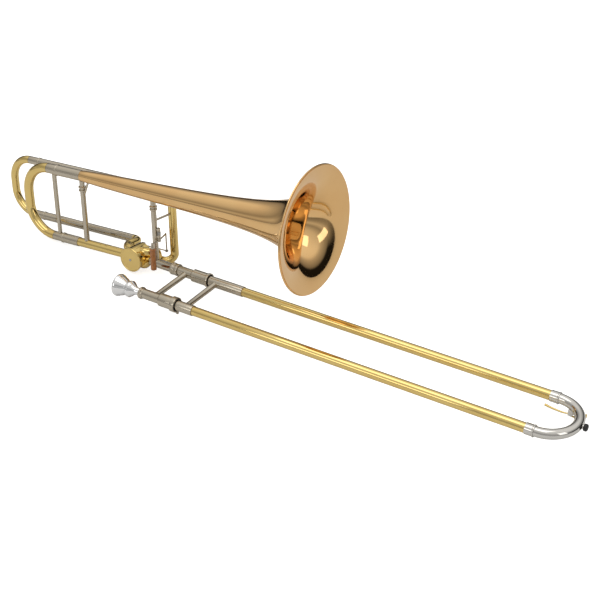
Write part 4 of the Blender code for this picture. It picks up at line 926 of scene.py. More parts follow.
def build_locks():
    """The ring that locks the outer slide and the nut that holds the bell section."""
    ring_inner = BARREL_THICK + RUNNING
    ring_outer = ring_inner + LOCK_RING_WALL
    start = slide_point(BARREL_FRONT - LOCK_RING_LENGTH, NEAR_Y)
    ring = piece(
        "slide_lock_ring",
        "nickel_silver",
        tube(start, start + X_AXIS * LOCK_RING_LENGTH, ring_outer, ring_inner),
        origin=start,
    )
    knob_x = BARREL_FRONT - LOCK_KNOB_RADIUS - 0.0008
    inner_end = ring_inner + 0.5 * LOCK_RING_WALL
    down = Vector((0, sin(radians(12)), -cos(radians(12))))
    middle = slide_point(knob_x, NEAR_Y)
    knob = rod(middle + down * inner_end, middle + down * LOCK_KNOB_REACH, LOCK_KNOB_RADIUS)
    join(ring, helper("slide_lock_knob", knob))
    nut_inner = BARREL_THIN + RUNNING + 0.0001
    nut_outer = nut_inner + NUT_WALL
    nut_start = slide_point(NUT_BACK, FAR_Y)
    half = [
        (0, nut_inner),
        (0, nut_outer - 0.0006),
        (0.0008, nut_outer),
        (0.0050, nut_outer),
        (0.0058, nut_outer - 0.0007),
    ]
    nut = turned(mirrored(half, NUT_LENGTH), nut_start)
    piece("bell_lock_nut", "nickel_silver", nut, origin=nut_start)


def build_mouthpiece():
    length = MOUTHPIECE_LENGTH
    waist = 0.0205
    bulge = 0.0290
    outside = [
        (0.0000, RIM_RADIUS - 0.0022),
        (0.0012, RIM_RADIUS - 0.0004),
        (0.0034, RIM_RADIUS),
        (0.0062, RIM_RADIUS - 0.0006),
        (0.0085, RIM_RADIUS - 0.0022),
        (0.0150, RIM_RADIUS - 0.0045),
        (waist, WAIST_RADIUS),
        (waist + 0.0018, WAIST_RADIUS),
        (bulge - 0.0035, BULGE_RADIUS - 0.0004),
        (bulge, BULGE_RADIUS),
        (bulge + 0.0040, BULGE_RADIUS - 0.0028),
        (bulge + 0.0085, SHANK_RADIUS + 0.0014),
        (bulge + 0.0120, SHANK_RADIUS),
        (length, SHANK_TIP),
    ]
    inside = [
        (length, SHANK_TIP - 0.0007),
        (CUP_DEPTH + 0.0080, THROAT_RADIUS),
        (CUP_DEPTH, THROAT_RADIUS + 0.0008),
        (CUP_DEPTH * 0.72, CUP_RADIUS * 0.66),
        (CUP_DEPTH * 0.40, CUP_RADIUS * 0.90),
        (0.0040, CUP_RADIUS),
        (0.0012, CUP_RADIUS + 0.0012),
        (0.0000, CUP_RADIUS + 0.0030),
    ]
    start = slide_point(MOUTHPIECE_RIM_X, NEAR_Y)
    piece("mouthpiece", "silver", turned(outside + inside, start), origin=start)


# Outer slide


def crook_route(steps=64):
    """From the mouthpiece-side tube, round the front and back to the bell-side tube."""
    start_x = OUTER_END + GAP
    centre = slide_point(start_x + CROOK_LEG, 0)
    bend = arc(centre, SLIDE_SPACING / 2, -pi / 2, pi / 2, X_AXIS, Y_AXIS, steps)
    return [slide_point(start_x, NEAR_Y), *bend, slide_point(start_x, FAR_Y)]


def build_outer_slide():
    """The outer tubes and sleeves, their ferrules, crook and brace, with the bumper and water key."""
    sides = (("near", NEAR_Y, NEAR_SLEEVE_END), ("far", FAR_Y, FAR_SLEEVE_END))
    for side, y, sleeve_end in sides:
        tube_mesh = tube(slide_point(OUTER_START, y), slide_point(OUTER_END, y), OUTER_RADIUS, OUTER_BORE)
        piece(f"{side}_outer_tube", "yellow_brass", tube_mesh)
        sleeve = tube(
            slide_point(OUTER_START + 0.001, y), slide_point(sleeve_end, y), SLEEVE_RADIUS, OUTER_RADIUS + GAP
        )
        piece(f"{side}_outer_sleeve", "nickel_silver", sleeve)
        ferrule_start = OUTER_END - FERRULE_BACK
        ferrule_end = OUTER_END + GAP + FERRULE_FRONT
        ferrule = [
            (ferrule_start, OUTER_RADIUS + GAP),
            (ferrule_start, SLEEVE_RADIUS),
            (ferrule_end - 0.0025, SLEEVE_RADIUS),
            (ferrule_end - 0.0018, SLEEVE_RADIUS + 0.0007),
            (ferrule_end, SLEEVE_RADIUS + 0.0007),
            (ferrule_end, OUTER_RADIUS + GAP),
        ]
        piece(f"{side}_crook_ferrule", "bright_nickel", turned(ferrule, slide_point(0, y)))
    piece("slide_crook", "bright_nickel", swept(crook_route(), OUTER_RADIUS, OUTER_BORE - 0.0003))
    build_cross_brace("outer_brace", OUTER_BRACE_X, SLEEVE_RADIUS, BRACE_RADIUS)
    build_bumper()
    build_water_key()


def crook_cutter(name):
    return helper(name, swept(crook_route(), OUTER_RADIUS + GAP))


def build_bumper():
    apex = OUTER_END + GAP + CROOK_LEG + SLIDE_SPACING / 2
    surface = apex + OUTER_RADIUS
    start, end = slide_point(apex + OUTER_RADIUS * 0.7, 0), slide_point(surface + SOCKET_LENGTH, 0)
    socket = piece("bumper_socket", "bright_nickel", rod(start, end, SOCKET_RADIUS), (surface, 0, 0))
    cut(socket, crook_cutter("bumper_socket_cutter"))
    start = slide_point(surface + SOCKET_LENGTH + GAP, 0)
    outline = [
        (0, 0),
        (0, BUMPER_RADIUS - 0.0008),
        (0.0008, BUMPER_RADIUS),
        (BUMPER_LENGTH - 0.0012, BUMPER_RADIUS),
        (BUMPER_LENGTH, BUMPER_RADIUS - 0.0014),
        (BUMPER_LENGTH, 0),
    ]
    piece("crook_bumper", "rubber", turned(outline, start, closed=False), origin=start)


def water_key_places():
    """The crook's point over the pad, the pad's drop and the hinge's place."""
    centre_x = OUTER_END + GAP + CROOK_LEG
    over = slide_point(centre_x + sqrt((SLIDE_SPACING / 2) ** 2 - KEY_SIDE**2), KEY_SIDE)
    nipple_end = -OUTER_RADIUS - NIPPLE_HEIGHT
    hinge = Vector((over.x - KEY_ARM_LENGTH, KEY_SIDE, nipple_end + 0.0006))
    return over, nipple_end, hinge


def build_water_key():
    """The nipple, the saddle with its pin, and the sprung lever with its pad."""
    over, nipple_end, hinge = water_key_places()
    nipple = piece(
        "water_key_nipple",
        "bright_nickel",
        rod(over - Z_AXIS * OUTER_RADIUS * SEAT, over + Z_AXIS * nipple_end, NIPPLE_RADIUS),
        origin=over,
    )
    cut(nipple, crook_cutter("water_key_nipple_cutter"))
    half = KEY_WIDTH / 2
    saddle_low = Vector((hinge.x - KEY_HUB_RADIUS, KEY_SIDE - half, hinge.z - KEY_HUB_RADIUS * 0.9))
    saddle_high = Vector((hinge.x + KEY_HUB_RADIUS + 0.0025, KEY_SIDE + half, -OUTER_RADIUS * 0.25))
    saddle = piece("water_key_saddle", "bright_nickel", box(saddle_low, saddle_high), origin=hinge)
    slot = box(
        (saddle_low.x - 0.01, KEY_SIDE - KEY_HUB_HALF - RUNNING, saddle_low.z - 0.01),
        (saddle_high.x + 0.02, KEY_SIDE + KEY_HUB_HALF + RUNNING, hinge.z + KEY_HUB_RADIUS + RUNNING),
    )
    cut(saddle, crook_cutter("water_key_saddle_cutter"), helper("water_key_slot", slot))
    pin = rod(hinge - Y_AXIS * (half - 0.0002), hinge + Y_AXIS * (half - 0.0002), KEY_PIN_RADIUS)
    join(saddle, helper("water_key_pin", pin))
    reach = Y_AXIS * KEY_HUB_HALF
    hub = tube(hinge - reach, hinge + reach, KEY_HUB_RADIUS - 0.0002, KEY_PIN_RADIUS + GAP)
    lever = piece("water_key_lever", "yellow_brass", hub, hinge)
    pad_low = nipple_end - GAP - PAD_HEIGHT
    arm_top = pad_low - GAP
    tab_route = [
        hinge + Vector((-0.0015, 0, -0.0007)),
        hinge + Vector((-0.30 * KEY_TAB_LENGTH, 0, -0.0020)),
        hinge + Vector((-0.70 * KEY_TAB_LENGTH, 0, -0.0010)),
        hinge + Vector((-KEY_TAB_LENGTH, 0, 0.0012)),
    ]
    tab = swept(smooth_route(tab_route, 6), [0.0010 + 0.0009 * k / 18 for k in range(19)])
    arm = box(
        (hinge.x + KEY_PIN_RADIUS + GAP + 0.0004, KEY_SIDE - KEY_HUB_HALF, arm_top - KEY_THICKNESS),
        (over.x + NIPPLE_RADIUS, KEY_SIDE + KEY_HUB_HALF, arm_top),
    )
    cup_start = over + Z_AXIS * (arm_top - KEY_CUP_HEIGHT)
    cup = rod(cup_start, cup_start + Z_AXIS * KEY_CUP_HEIGHT, NIPPLE_RADIUS + 0.0012)
    neck = box(
        (hinge.x + KEY_PIN_RADIUS + GAP + 0.0002, KEY_SIDE - KEY_HUB_HALF, arm_top - KEY_THICKNESS),
        (hinge.x + KEY_HUB_RADIUS + 0.0006, KEY_SIDE + KEY_HUB_HALF, hinge.z + 0.0004),
    )
    toe_route = [
        over + Vector((0.0025, 0, arm_top - 0.0014)),
        over + Vector((0.0085, 0.0005, arm_top - 0.0010)),
        over + Vector((0.0130, 0.0010, arm_top + 0.0040)),
        over + Vector((0.0135, 0.0012, arm_top + 0.0100)),
    ]
    toe = swept(smooth_route(toe_route, 10), 0.0013)
    join_shapes(lever, "water_key", None, tab=tab, arm=arm, neck=neck, cup=cup, toe=toe)
    pad = rod(over + Z_AXIS * pad_low, over + Z_AXIS * (pad_low + PAD_HEIGHT), NIPPLE_RADIUS + 0.0009)
    piece("water_key_pad", "cork", pad, origin=over + Z_AXIS * pad_low)


# Bell section, in its own frame


def bell_stand():
    """An empty that places and tilts the bell section's pieces."""
    stand = bpy.data.objects.new("bell_stand", None)
    bpy.context.scene.collection.objects.link(stand)
    lean = Matrix.Rotation(-BELL_LEAN, 4, "X")
    tilt = Matrix.Rotation(-BELL_TILT, 4, "Y")
    stand.matrix_world = Matrix.Translation((BELL_FRAME_X, FAR_Y, 0)) @ lean @ tilt
    bpy.context.view_layer.update()
    return stand


def flare_radius(behind):
    """The bell's outer radius at a distance behind its mouth: a power law, less the tail's narrowing."""
    law = (BELL_RADIUS - RIM_BEAD) * (FLARE_REACH / (behind + FLARE_REACH)) ** FLARE_POWER
    return law - TAIL_NARROWING * (behind / (BELL_MOUTH - BELL_START)) ** TAIL_SHAPE


def bell_radius_at(x):
    return flare_radius(BELL_MOUTH - x)


def build_bell(stand):
    """The bell: its flare inside and out, with a wired bead round the rim."""
    length = BELL_MOUTH - BELL_START
    steps = 72
    outside, inside = [], []
    for k in range(steps - 1):
        behind = length * (1 - k / steps) ** 2.4
        radius = flare_radius(behind)
        slope = (flare_radius(behind - 0.0001) - flare_radius(behind + 0.0001)) / 0.0002
        thin = BELL_WALL / sqrt(1 + slope**2)
        outside.append((BELL_MOUTH - behind, radius))
        inside.append((BELL_MOUTH - behind + slope * thin, radius - thin))
    inside[0] = (BELL_START, inside[0][1])
    centre = (BELL_MOUTH - RIM_BEAD, BELL_RADIUS - RIM_BEAD)
    bead = []
    for k in range(15):
        angle = radians(215 - 250 * k / 14)
        bead.append((centre[0] + RIM_BEAD * cos(angle), centre[1] + RIM_BEAD * sin(angle)))
    outline = outside + bead + inside[::-1]
    piece("bell", "gold_brass", turned(outline, (0, 0, LEG_SPACING)), (0, 0, LEG_SPACING), stand)


def bow_route(back, corner, low, high, side, steps=24):
    """A tuning slide's bow: from the low leg, round two corners to the high leg."""
    front = back + corner
    low_corner = Vector((front, side, low + corner))
    high_corner = Vector((front, side, high - corner))
    first = arc(low_corner, corner, -pi / 2, -pi, X_AXIS, Z_AXIS, steps)
    second = arc(high_corner, corner, pi, pi / 2, X_AXIS, Z_AXIS, steps)
    straight = X_AXIS * 0.0010
    return [first[0] + straight, *first, *second, second[-1] + straight]


def build_tuning_slide(stand, name, route, legs, joint, depth):
    """A bow and its two nickel legs. Each leg is (label, height, radius)."""
    low_radius, high_radius = (radius + LEG_FERRULE_WALL for _, _, radius in legs)
    last = len(route) - 1
    radii = [low_radius + (high_radius - low_radius) * i / last for i in range(last + 1)]
    bores = [radius - LEG_FERRULE_WALL - LEG_WALL for radius in radii]
    side = route[0].y
    start = route[0].x + GAP
    piece(f"{name}_bow", "yellow_brass", swept(route, radii, bores), (joint, side, 0), stand)
    for label, height, radius in legs:
        outline = [
            (start, radius - LEG_WALL),
            (start, radius + LEG_FERRULE_WALL),
            (joint - 0.0006, radius + LEG_FERRULE_WALL),
            (joint - 0.0003, radius),
            (joint + depth, radius),
            (joint + depth, radius - LEG_WALL),
        ]
        leg = turned(outline, (0, side, height))
        piece(f"{name}_{label}_leg", "nickel_silver", leg, (joint, side, height), stand)


def tuning_sleeve(stand, name, start, end, side, height, leg_radius, outer, end_bore):
    """A fixed sleeve with a collar where the leg goes in, bored for the next tube at its other end."""
    bore = leg_radius + RUNNING
    outline = [
        (start, bore),
        (start, outer + 0.0007),
        (start + 0.0025, outer + 0.0007),
        (start + 0.0030, outer),
        (end, outer),
        (end, end_bore),
    ]
    if end_bore < bore:
        outline += [(end - 0.0020, end_bore), (end - 0.0020, bore)]
    piece(name, "nickel_silver", turned(outline, (0, side, height)), (start, side, height), stand)


def upright_brace(stand, name, x, low, high, radius, side=0.0, rings=(), low_direction=X_AXIS):
    """A brace between two tubes of the bell section. Low and high are the tubes' (height, radius)."""
    low_height, low_radius = low
    high_height, high_radius = high
    start = Vector((x, side, low_height + low_radius * SEAT))
    length = high_height - high_radius * SEAT - start.z
    turned_rings = [(height - start.z, ring_radius, half) for height, ring_radius, half in rings]
    outline = post_outline(length, radius, radius + FOOT_FLARE, turned_rings)
    low_place, high_place = (x, side, low_height), (x, side, high_height)
    brace = piece(name, "nickel_silver", turned(outline, start, Z_AXIS, closed=False), low_place, stand)
    cut(
        brace,
        saddle_cutter(f"{name}_low_cutter", low_place, low_direction, low_radius, parent=stand),
        saddle_cutter(f"{name}_high_cutter", high_place, X_AXIS, high_radius, parent=stand),
    )
    return brace


def build_main_line(stand):
    """The main tubing behind the rotor, with its sleeves and tuning slide."""
    sleeve_start = MAIN_JOINT + GAP
    upper_end = BELL_START - GAP
    lower_end = LOWER_SLEEVE_END - GAP
    lower_bore = LOWER_LEG_RADIUS + RUNNING
    for name, end, height, radius, outer, bore in (
        ("main_upper_sleeve", upper_end, LEG_SPACING, UPPER_LEG_RADIUS, UPPER_SLEEVE_RADIUS, UPPER_LEG_BORE),
        ("main_lower_sleeve", lower_end, 0, LOWER_LEG_RADIUS, LOWER_SLEEVE_RADIUS, lower_bore),
    ):
        tuning_sleeve(stand, name, sleeve_start, end, 0, height, radius, outer, bore)
    tube_end = ROTOR_X - PORT_REACH - KNUCKLE_RUN - GAP
    leg_stop = MAIN_JOINT + MAIN_LEG_DEPTH + 0.0020
    outline = [
        (LOWER_SLEEVE_END, lower_bore),
        (LOWER_SLEEVE_END, MAIN_TUBE_RADIUS),
        (tube_end, MAIN_TUBE_RADIUS),
        (tube_end, KNUCKLE_BORE),
        (leg_stop, KNUCKLE_BORE),
        (leg_stop, lower_bore),
    ]
    piece("main_neck_tube", "yellow_brass", turned(outline, (0, 0, 0)), (LOWER_SLEEVE_END, 0, 0), stand)
    route = bow_route(MAIN_BOW_BACK, MAIN_CORNER, 0, LEG_SPACING, 0)
    legs = (("lower", 0, LOWER_LEG_RADIUS), ("upper", LEG_SPACING, UPPER_LEG_RADIUS))
    build_tuning_slide(stand, "main_tuning", route, legs, MAIN_JOINT, MAIN_LEG_DEPTH)
    low = (0, LOWER_LEG_RADIUS + LEG_FERRULE_WALL)
    high = (LEG_SPACING, UPPER_LEG_RADIUS + LEG_FERRULE_WALL)
    upright_brace(stand, "main_tuning_brace", MAIN_BRACE_X, low, high, TUNING_BRACE_RADIUS)


def build_f_line(stand):
    """The attachment's sleeves, tuning slide and tubing to and from the rotor."""
    for label, height in (("upper", F_HIGH), ("lower", F_LOW)):
        start, end = F_JOINT + GAP, F_SLEEVE_FRONT - GAP
        name = f"f_{label}_sleeve"
        tuning_sleeve(stand, name, start, end, F_SIDE, height, F_LEG_RADIUS, F_SLEEVE_RADIUS, F_LEG_BORE)
    route = bow_route(F_BOW_BACK, F_CORNER, F_LOW, F_HIGH, F_SIDE)
    legs = (("lower", F_LOW, F_LEG_RADIUS), ("upper", F_HIGH, F_LEG_RADIUS))
    build_tuning_slide(stand, "f_tuning", route, legs, F_JOINT, F_LEG_DEPTH)
    low, high = (F_LOW, F_SLEEVE_RADIUS), (F_HIGH, F_SLEEVE_RADIUS)
    upright_brace(stand, "f_sleeve_brace", F_BRACE_X, low, high, F_BRACE_RADIUS, F_SIDE)
    start = Vector((F_SLEEVE_FRONT, F_SIDE, F_HIGH))
    upper = tube(start, (F_TUBE_FRONT, F_SIDE, F_HIGH), F_TUBE_RADIUS, F_TUBE_BORE)
    piece("f_upper_tube", "nickel_silver", upper, start, stand)
    lower_route = f_lower_route()
    lower = swept(lower_route, F_TUBE_RADIUS, F_TUBE_BORE)
    fine = piece("f_lower_tube", "yellow_brass", lower, lower_route[0], stand)
    two_tone(fine, "nickel_silver", lower_route[1].x - lower_route[0].x)
    crook_route = f_crook_route()
    crook = swept(crook_route, F_TUBE_RADIUS, F_TUBE_BORE)
    piece("f_front_crook", "yellow_brass", crook, crook_route[0], stand)


def port_height(upper):
    return ROTOR_Z + (PORT_REACH if upper else -PORT_REACH)


def port_bend(front):
    """The bend out of an upper port: its first part is the casing's, and its second the attachment tube's."""
    way = X_AXIS if front else -X_AXIS
    fall = FRONT_PORT_FALL if front else 0.0
    outward = Vector((0, cos(fall), -sin(fall)))
    rim = Vector((ROTOR_X, 0, port_height(True))) + way * PORT_REACH
    start = rim + way * PORT_STRAIGHT
    joint_angle = -radians(40)
    first = arc(start + outward * PORT_BEND, PORT_BEND, -pi / 2, joint_angle, way, outward, 20)
    heading = outward * cos(joint_angle) - way * sin(joint_angle)
    socket_end = first[-1] + heading * PORT_SOCKET
    casing_route = [rim - way * 0.0060, *first, socket_end]
    shift = heading * (2 * PORT_SOCKET + GAP)
    second = arc(start + outward * PORT_BEND + shift, PORT_BEND, joint_angle, 0, way, outward, 16)
    tube_route = [socket_end + heading * GAP, *second]
    return casing_route, tube_route, outward


def f_lower_route():
    """From the low leg's sleeve forward, round the elbow and in to the rotor's rear upper port."""
    _, bend, _ = port_bend(False)
    last = bend[-1]
    corner = Vector((last.x - F_ELBOW_CORNER, F_SIDE - F_ELBOW_CORNER, 0))
    turn = arc(corner, F_ELBOW_CORNER, pi / 2, 0, X_AXIS, Y_AXIS, 24)
    climb = port_height(True) - F_LOW
    lengths = [0.0]
    flat = [*turn, Vector((last.x, (turn[-1].y + last.y) / 2, 0)), Vector((last.x, last.y, 0))]
    for a, b in zip(flat, flat[1:]):
        lengths.append(lengths[-1] + (b - a).length)
    raised = []
    for point, gone in zip(flat, lengths):
        t = gone / lengths[-1]
        raised.append(Vector((point.x, point.y, F_LOW + climb * t * t * (3 - 2 * t))))
    return [Vector((F_SLEEVE_FRONT, F_SIDE, F_LOW)), *raised[:-1], *bend[::-1]]


def f_crook_route():
    """From the high tube down in front, under the link and up to the rotor's front upper port."""
    _, bend, outward = port_bend(True)
    start = Vector((F_TUBE_FRONT + GAP, F_SIDE, F_HIGH))
    top_centre = Vector((F_FRONT_X - F_CROOK_CORNER, F_SIDE, F_HIGH - F_CROOK_CORNER))
    top = arc(top_centre, F_CROOK_CORNER, pi / 2, 0, X_AXIS, Z_AXIS, 20)
    last = bend[-1]
    under = Vector((0, outward.z, -outward.y))
    turn_centre = last + under * CROOK_BEND
    turn_angle = pi / 2 - FRONT_PORT_FALL
    turn = arc(turn_centre, CROOK_BEND, 0, turn_angle, -under, outward, 16)
    foot = turn[-1]
    descent = Vector((F_FRONT_X, F_SIDE, foot.z))
    half = (descent - foot) / 2
    middle = (descent + foot) / 2
    bottom = []
    for k in range(41):
        angle = pi * k / 40
        bottom.append(middle + half * cos(angle) - Z_AXIS * F_CROOK_DROP * sin(angle))
    return [start, *top, *bottom, *turn[-2:0:-1], *bend[::-1]]


def knuckle_route(front):
    """The main line's double bend, from a low port of the rotor up to the tubes' own height."""
    way = 1 if front else -1
    start = Vector((ROTOR_X + way * PORT_REACH, 0, port_height(False)))
    bend_run = KNUCKLE_RUN - PORT_SOCKET
    end_x = start.x + way * bend_run
    end_z = -end_x * sin(BELL_TILT) / cos(BELL_TILT) if front else 0.0
    rise = end_z - start.z
    radius = (bend_run**2 + rise**2) / (4 * rise)
    turn = asin(bend_run / 2 / radius)
    first = arc(start + Z_AXIS * radius, radius, -pi / 2, -pi / 2 + way * turn, X_AXIS, Z_AXIS, 16)
    end = Vector((end_x, 0, end_z))
    second = arc(end - Z_AXIS * radius, radius, pi / 2 + way * turn, pi / 2, X_AXIS, Z_AXIS, 16)
    return [start - X_AXIS * way * 0.006, *first, *second[1:], end + X_AXIS * way * PORT_SOCKET]


def build_casing(stand, axis_point):
    """The rotor's casing with its four bored branches."""
    near = axis_point + Y_AXIS * CASING_NEAR
    far = axis_point + Y_AXIS * CASING_FAR
    casing = piece("rotor_casing", "yellow_brass", rod(near, far, CASING_RADIUS), axis_point, stand)
    branches = []
    for label, front in (("front", True), ("rear", False)):
        branches.append((f"{label}_knuckle", knuckle_route(front)))
        branches.append((f"{label}_port", port_bend(front)[0]))
    for label, route in branches:
        join(casing, helper(label, swept(route, KNUCKLE_RADIUS), stand))
    cut(casing, helper("casing_bore", rod(near - Y_AXIS * 0.01, far + Y_AXIS * 0.01, ROTOR_BORE), stand))
    for label, route in branches:
        beyond = route[-1] + (route[-1] - route[-2]).normalized() * 0.004
        cut(casing, helper(label + "_bore", swept([*route, beyond], KNUCKLE_BORE), stand))


def build_rotor_body(stand, axis_point):
    """The turning body, with its spindle and two curved passages."""
    start = axis_point + Y_AXIS * (CASING_NEAR + RUNNING)
    length = CASING_FAR - CASING_NEAR - 2 * RUNNING
    stem = STOP_ARM_SIDE + STOP_ARM_THICKNESS - start.y
    outline = [
        (0, 0),
        (0, ROTOR_RADIUS),
        (length, ROTOR_RADIUS),
        (length, SPINDLE_RADIUS),
        (stem, SPINDLE_RADIUS),
        (stem, 0),
    ]
    rotor = piece("rotor", "nickel_silver", turned(outline, start, Y_AXIS, closed=False), axis_point, stand)
    depth = PASSAGE_BORE + 0.0018
    rim = PORT_REACH - depth
    radius = (PORT_REACH**2 + rim**2) / (2 * rim)
    reach = asin(min(0.95, ROTOR_RADIUS * 1.05 / radius))
    for label, sign in (("upper", 1), ("lower", -1)):
        centre = axis_point + Z_AXIS * sign * (depth + radius)
        middle = -sign * pi / 2
        route = arc(centre, radius, middle - reach, middle + reach, X_AXIS, Z_AXIS, 32)
        cut(rotor, helper(f"{label}_passage", swept(route, PASSAGE_BORE), stand))


def build_rotor(stand):
    axis_point = Vector((ROTOR_X, 0, ROTOR_Z))
    build_casing(stand, axis_point)
    build_rotor_body(stand, axis_point)
    cap_outline = [
        (0, 0),
        (0, 0.0016),
        (0.0006, 0.0022),
        (0.0006, CAP_RADIUS - 0.0026),
        (0, CAP_RADIUS - 0.0018),
        (0.0004, CAP_RADIUS - 0.0006),
        (0.0012, CAP_RADIUS),
        (CAP_THICKNESS - 0.0006, CAP_RADIUS),
        (CAP_THICKNESS, CAP_RADIUS - 0.0006),
        (CAP_THICKNESS, 0),
    ]
    cap_start = axis_point + Y_AXIS * (CASING_NEAR - CAP_THICKNESS - GAP)
    piece("rotor_cap", "yellow_brass", turned(cap_outline, cap_start, Y_AXIS, closed=False), cap_start, stand)
    plate_start = axis_point + Y_AXIS * (CASING_FAR + GAP)
    plate_end = plate_start + Y_AXIS * PLATE_THICKNESS
    plate = tube(plate_start, plate_end, ROTOR_BORE + 0.0010, SPINDLE_RADIUS + RUNNING)
    piece("bearing_plate", "yellow_brass", plate, plate_start, stand)
    build_stop_arm(stand, axis_point, plate_end.y + GAP)


def stop_place(axis_point, angle, reach, side):
    return Vector((axis_point.x + reach * cos(angle), side, axis_point.z + reach * sin(angle)))


def build_stop_arm(stand, axis_point, plate_face):
    near, far = STOP_ARM_SIDE, STOP_ARM_SIDE + STOP_ARM_THICKNESS
    middle = (near + far) / 2
    hub_radius = SPINDLE_RADIUS + 0.0022
    near_face, far_face = stop_place(axis_point, 0, 0, near), stop_place(axis_point, 0, 0, far)
    hub = tube(near_face, far_face, hub_radius, SPINDLE_RADIUS + GAP)
    arm = piece("stop_arm", "nickel_silver", hub, axis_point, stand)
    bar_start = stop_place(axis_point, STOP_REST, hub_radius - 0.0012, middle)
    bar = rod(bar_start, stop_place(axis_point, STOP_REST, STOP_ARM_LENGTH, middle), 0.0010)
    boss_start = stop_place(axis_point, STOP_REST, STOP_ARM_LENGTH, near)
    boss = rod(boss_start, boss_start + Y_AXIS * STOP_ARM_THICKNESS, 0.0021)
    pin_end = Vector((boss_start.x, LINK_SIDE + 0.0032, boss_start.z))
    pin = rod(boss_start + Y_AXIS * 0.0004, pin_end, STOP_PIN_RADIUS)
    join_shapes(arm, "stop_arm", stand, bar=bar, boss=boss, pin=pin)
    ends = (("rest", STOP_REST + BUMPER_ANGLE), ("pressed", STOP_REST - STOP_TURN - BUMPER_ANGLE))
    for label, angle in ends:
        start = stop_place(axis_point, angle, BUMPER_PLACE, plate_face)
        end = stop_place(axis_point, angle, BUMPER_PLACE, far)
        piece(f"stop_bumper_{label}", "rubber", rod(start, end, STOP_BUMPER_RADIUS), start, stand)


def build_trigger(stand):
    pivot = Vector((TRIGGER_X, 0, LEVER_Z))
    build_hinge(stand)
    rest = TRIGGER_SWING / 2
    far_end = pivot + Vector((-LEVER_LENGTH * sin(rest), LEVER_LENGTH * cos(rest), 0))
    near_end = Vector((TRIGGER_X, HANDLE_SIDE, LEVER_Z))
    hub_top = Vector((TRIGGER_X, 0, TRIGGER_LOW - RUNNING))
    hub = rod(pivot - Z_AXIS * 0.0024, hub_top, HINGE_RADIUS)
    lever = piece("trigger_lever", "nickel_silver", hub, pivot, stand)
    stem_low = near_end - Z_AXIS * HANDLE_STEM
    stem_outline = [
        (0, 0),
        (0, 0.0034),
        (HANDLE_STEM * 0.45, 0.0030),
        (HANDLE_STEM * 0.75, 0.0021),
        (HANDLE_STEM + 0.0012, 0.0021),
        (HANDLE_STEM + 0.0012, 0),
    ]
    join_shapes(
        lever,
        "trigger",
        stand,
        pin=rod(pivot, (TRIGGER_X, 0, TRIGGER_HIGH + 0.0015), LEVER_PIN_RADIUS),
        near_arm=rod(pivot, near_end, LEVER_RADIUS),
        far_arm=rod(pivot, far_end, LEVER_RADIUS),
        stem=turned(stem_outline, stem_low, Z_AXIS, closed=False),
        tang=rod(stem_low + Z_AXIS * 0.0005, stem_low - Z_AXIS * HANDLE_BORE_DEPTH, TANG_RADIUS),
        drop=rod(far_end + Z_AXIS * 0.0018, (far_end.x, far_end.y, LINK_Z - 0.0026), LINK_RADIUS),
    )
    top = stem_low - Z_AXIS * GAP
    bore = TANG_RADIUS + GAP
    handle_outline = [
        (HANDLE_BORE_DEPTH + GAP, 0),
        (HANDLE_BORE_DEPTH + GAP, bore),
        (0, bore),
        (0, HANDLE_RADIUS - 0.0008),
        (0.0010, HANDLE_RADIUS),
        (HANDLE_LENGTH * 0.5, HANDLE_RADIUS - 0.0004),
        (HANDLE_LENGTH - 0.0012, HANDLE_RADIUS),
        (HANDLE_LENGTH, HANDLE_RADIUS - 0.0010),
        (HANDLE_LENGTH, 0),
    ]
    handle = turned(handle_outline, top, -Z_AXIS, closed=False)
    piece("trigger_handle", "copper_wood", handle, top, stand)
    build_link(stand, far_end)


def build_hinge(stand):
    """The barrel for the lever's pin, on two lugs from the front brace, and the spring round its waist."""
    low = Vector((TRIGGER_X, 0, TRIGGER_LOW))
    length = TRIGGER_HIGH - TRIGGER_LOW
    bore = LEVER_PIN_RADIUS + RUNNING
    half = [
        (0, bore),
        (0, HINGE_RADIUS),
        (HINGE_SHOULDER, HINGE_RADIUS),
        (HINGE_SHOULDER, HINGE_WAIST),
    ]
    hinge = turned(mirrored(half, length), low, Z_AXIS)
    hinge = piece("trigger_hinge", "nickel_silver", hinge, low, stand)
    for k, height in enumerate((TRIGGER_LOW + HINGE_SHOULDER / 2, TRIGGER_HIGH - HINGE_SHOULDER / 2)):
        low_corner = (FRONT_BRACE_X, -LUG_HALF, height - LUG_HALF)
        high_corner = (TRIGGER_X - bore - 0.0008, LUG_HALF, height + LUG_HALF)
        join(hinge, helper(f"trigger_lug_{k}", box(low_corner, high_corner), stand))
    cut(hinge, front_brace_cutter(stand, "trigger_lug_cutter", TRIGGER_LOW - 0.01, TRIGGER_HIGH + 0.01))
    turns = sizes().wire_turns
    steps = 28
    radius = HINGE_WAIST + SPRING_WIRE + GAP
    room = length - 2 * HINGE_SHOULDER - 4 * SPRING_WIRE
    route = []
    for k in range(turns * steps + 1):
        angle = 2 * pi * k / steps
        height = TRIGGER_LOW + HINGE_SHOULDER + 2 * SPRING_WIRE + room * k / (turns * steps)
        route.append(Vector((TRIGGER_X + radius * cos(angle), radius * sin(angle), height)))
    piece("trigger_spring", "steel", swept(route, SPRING_WIRE), route[0], stand)


def front_brace_cutter(stand, name, low, high):
    return helper(name, rod((FRONT_BRACE_X, 0, low), (FRONT_BRACE_X, 0, high), UPRIGHT_RADIUS + GAP), stand)


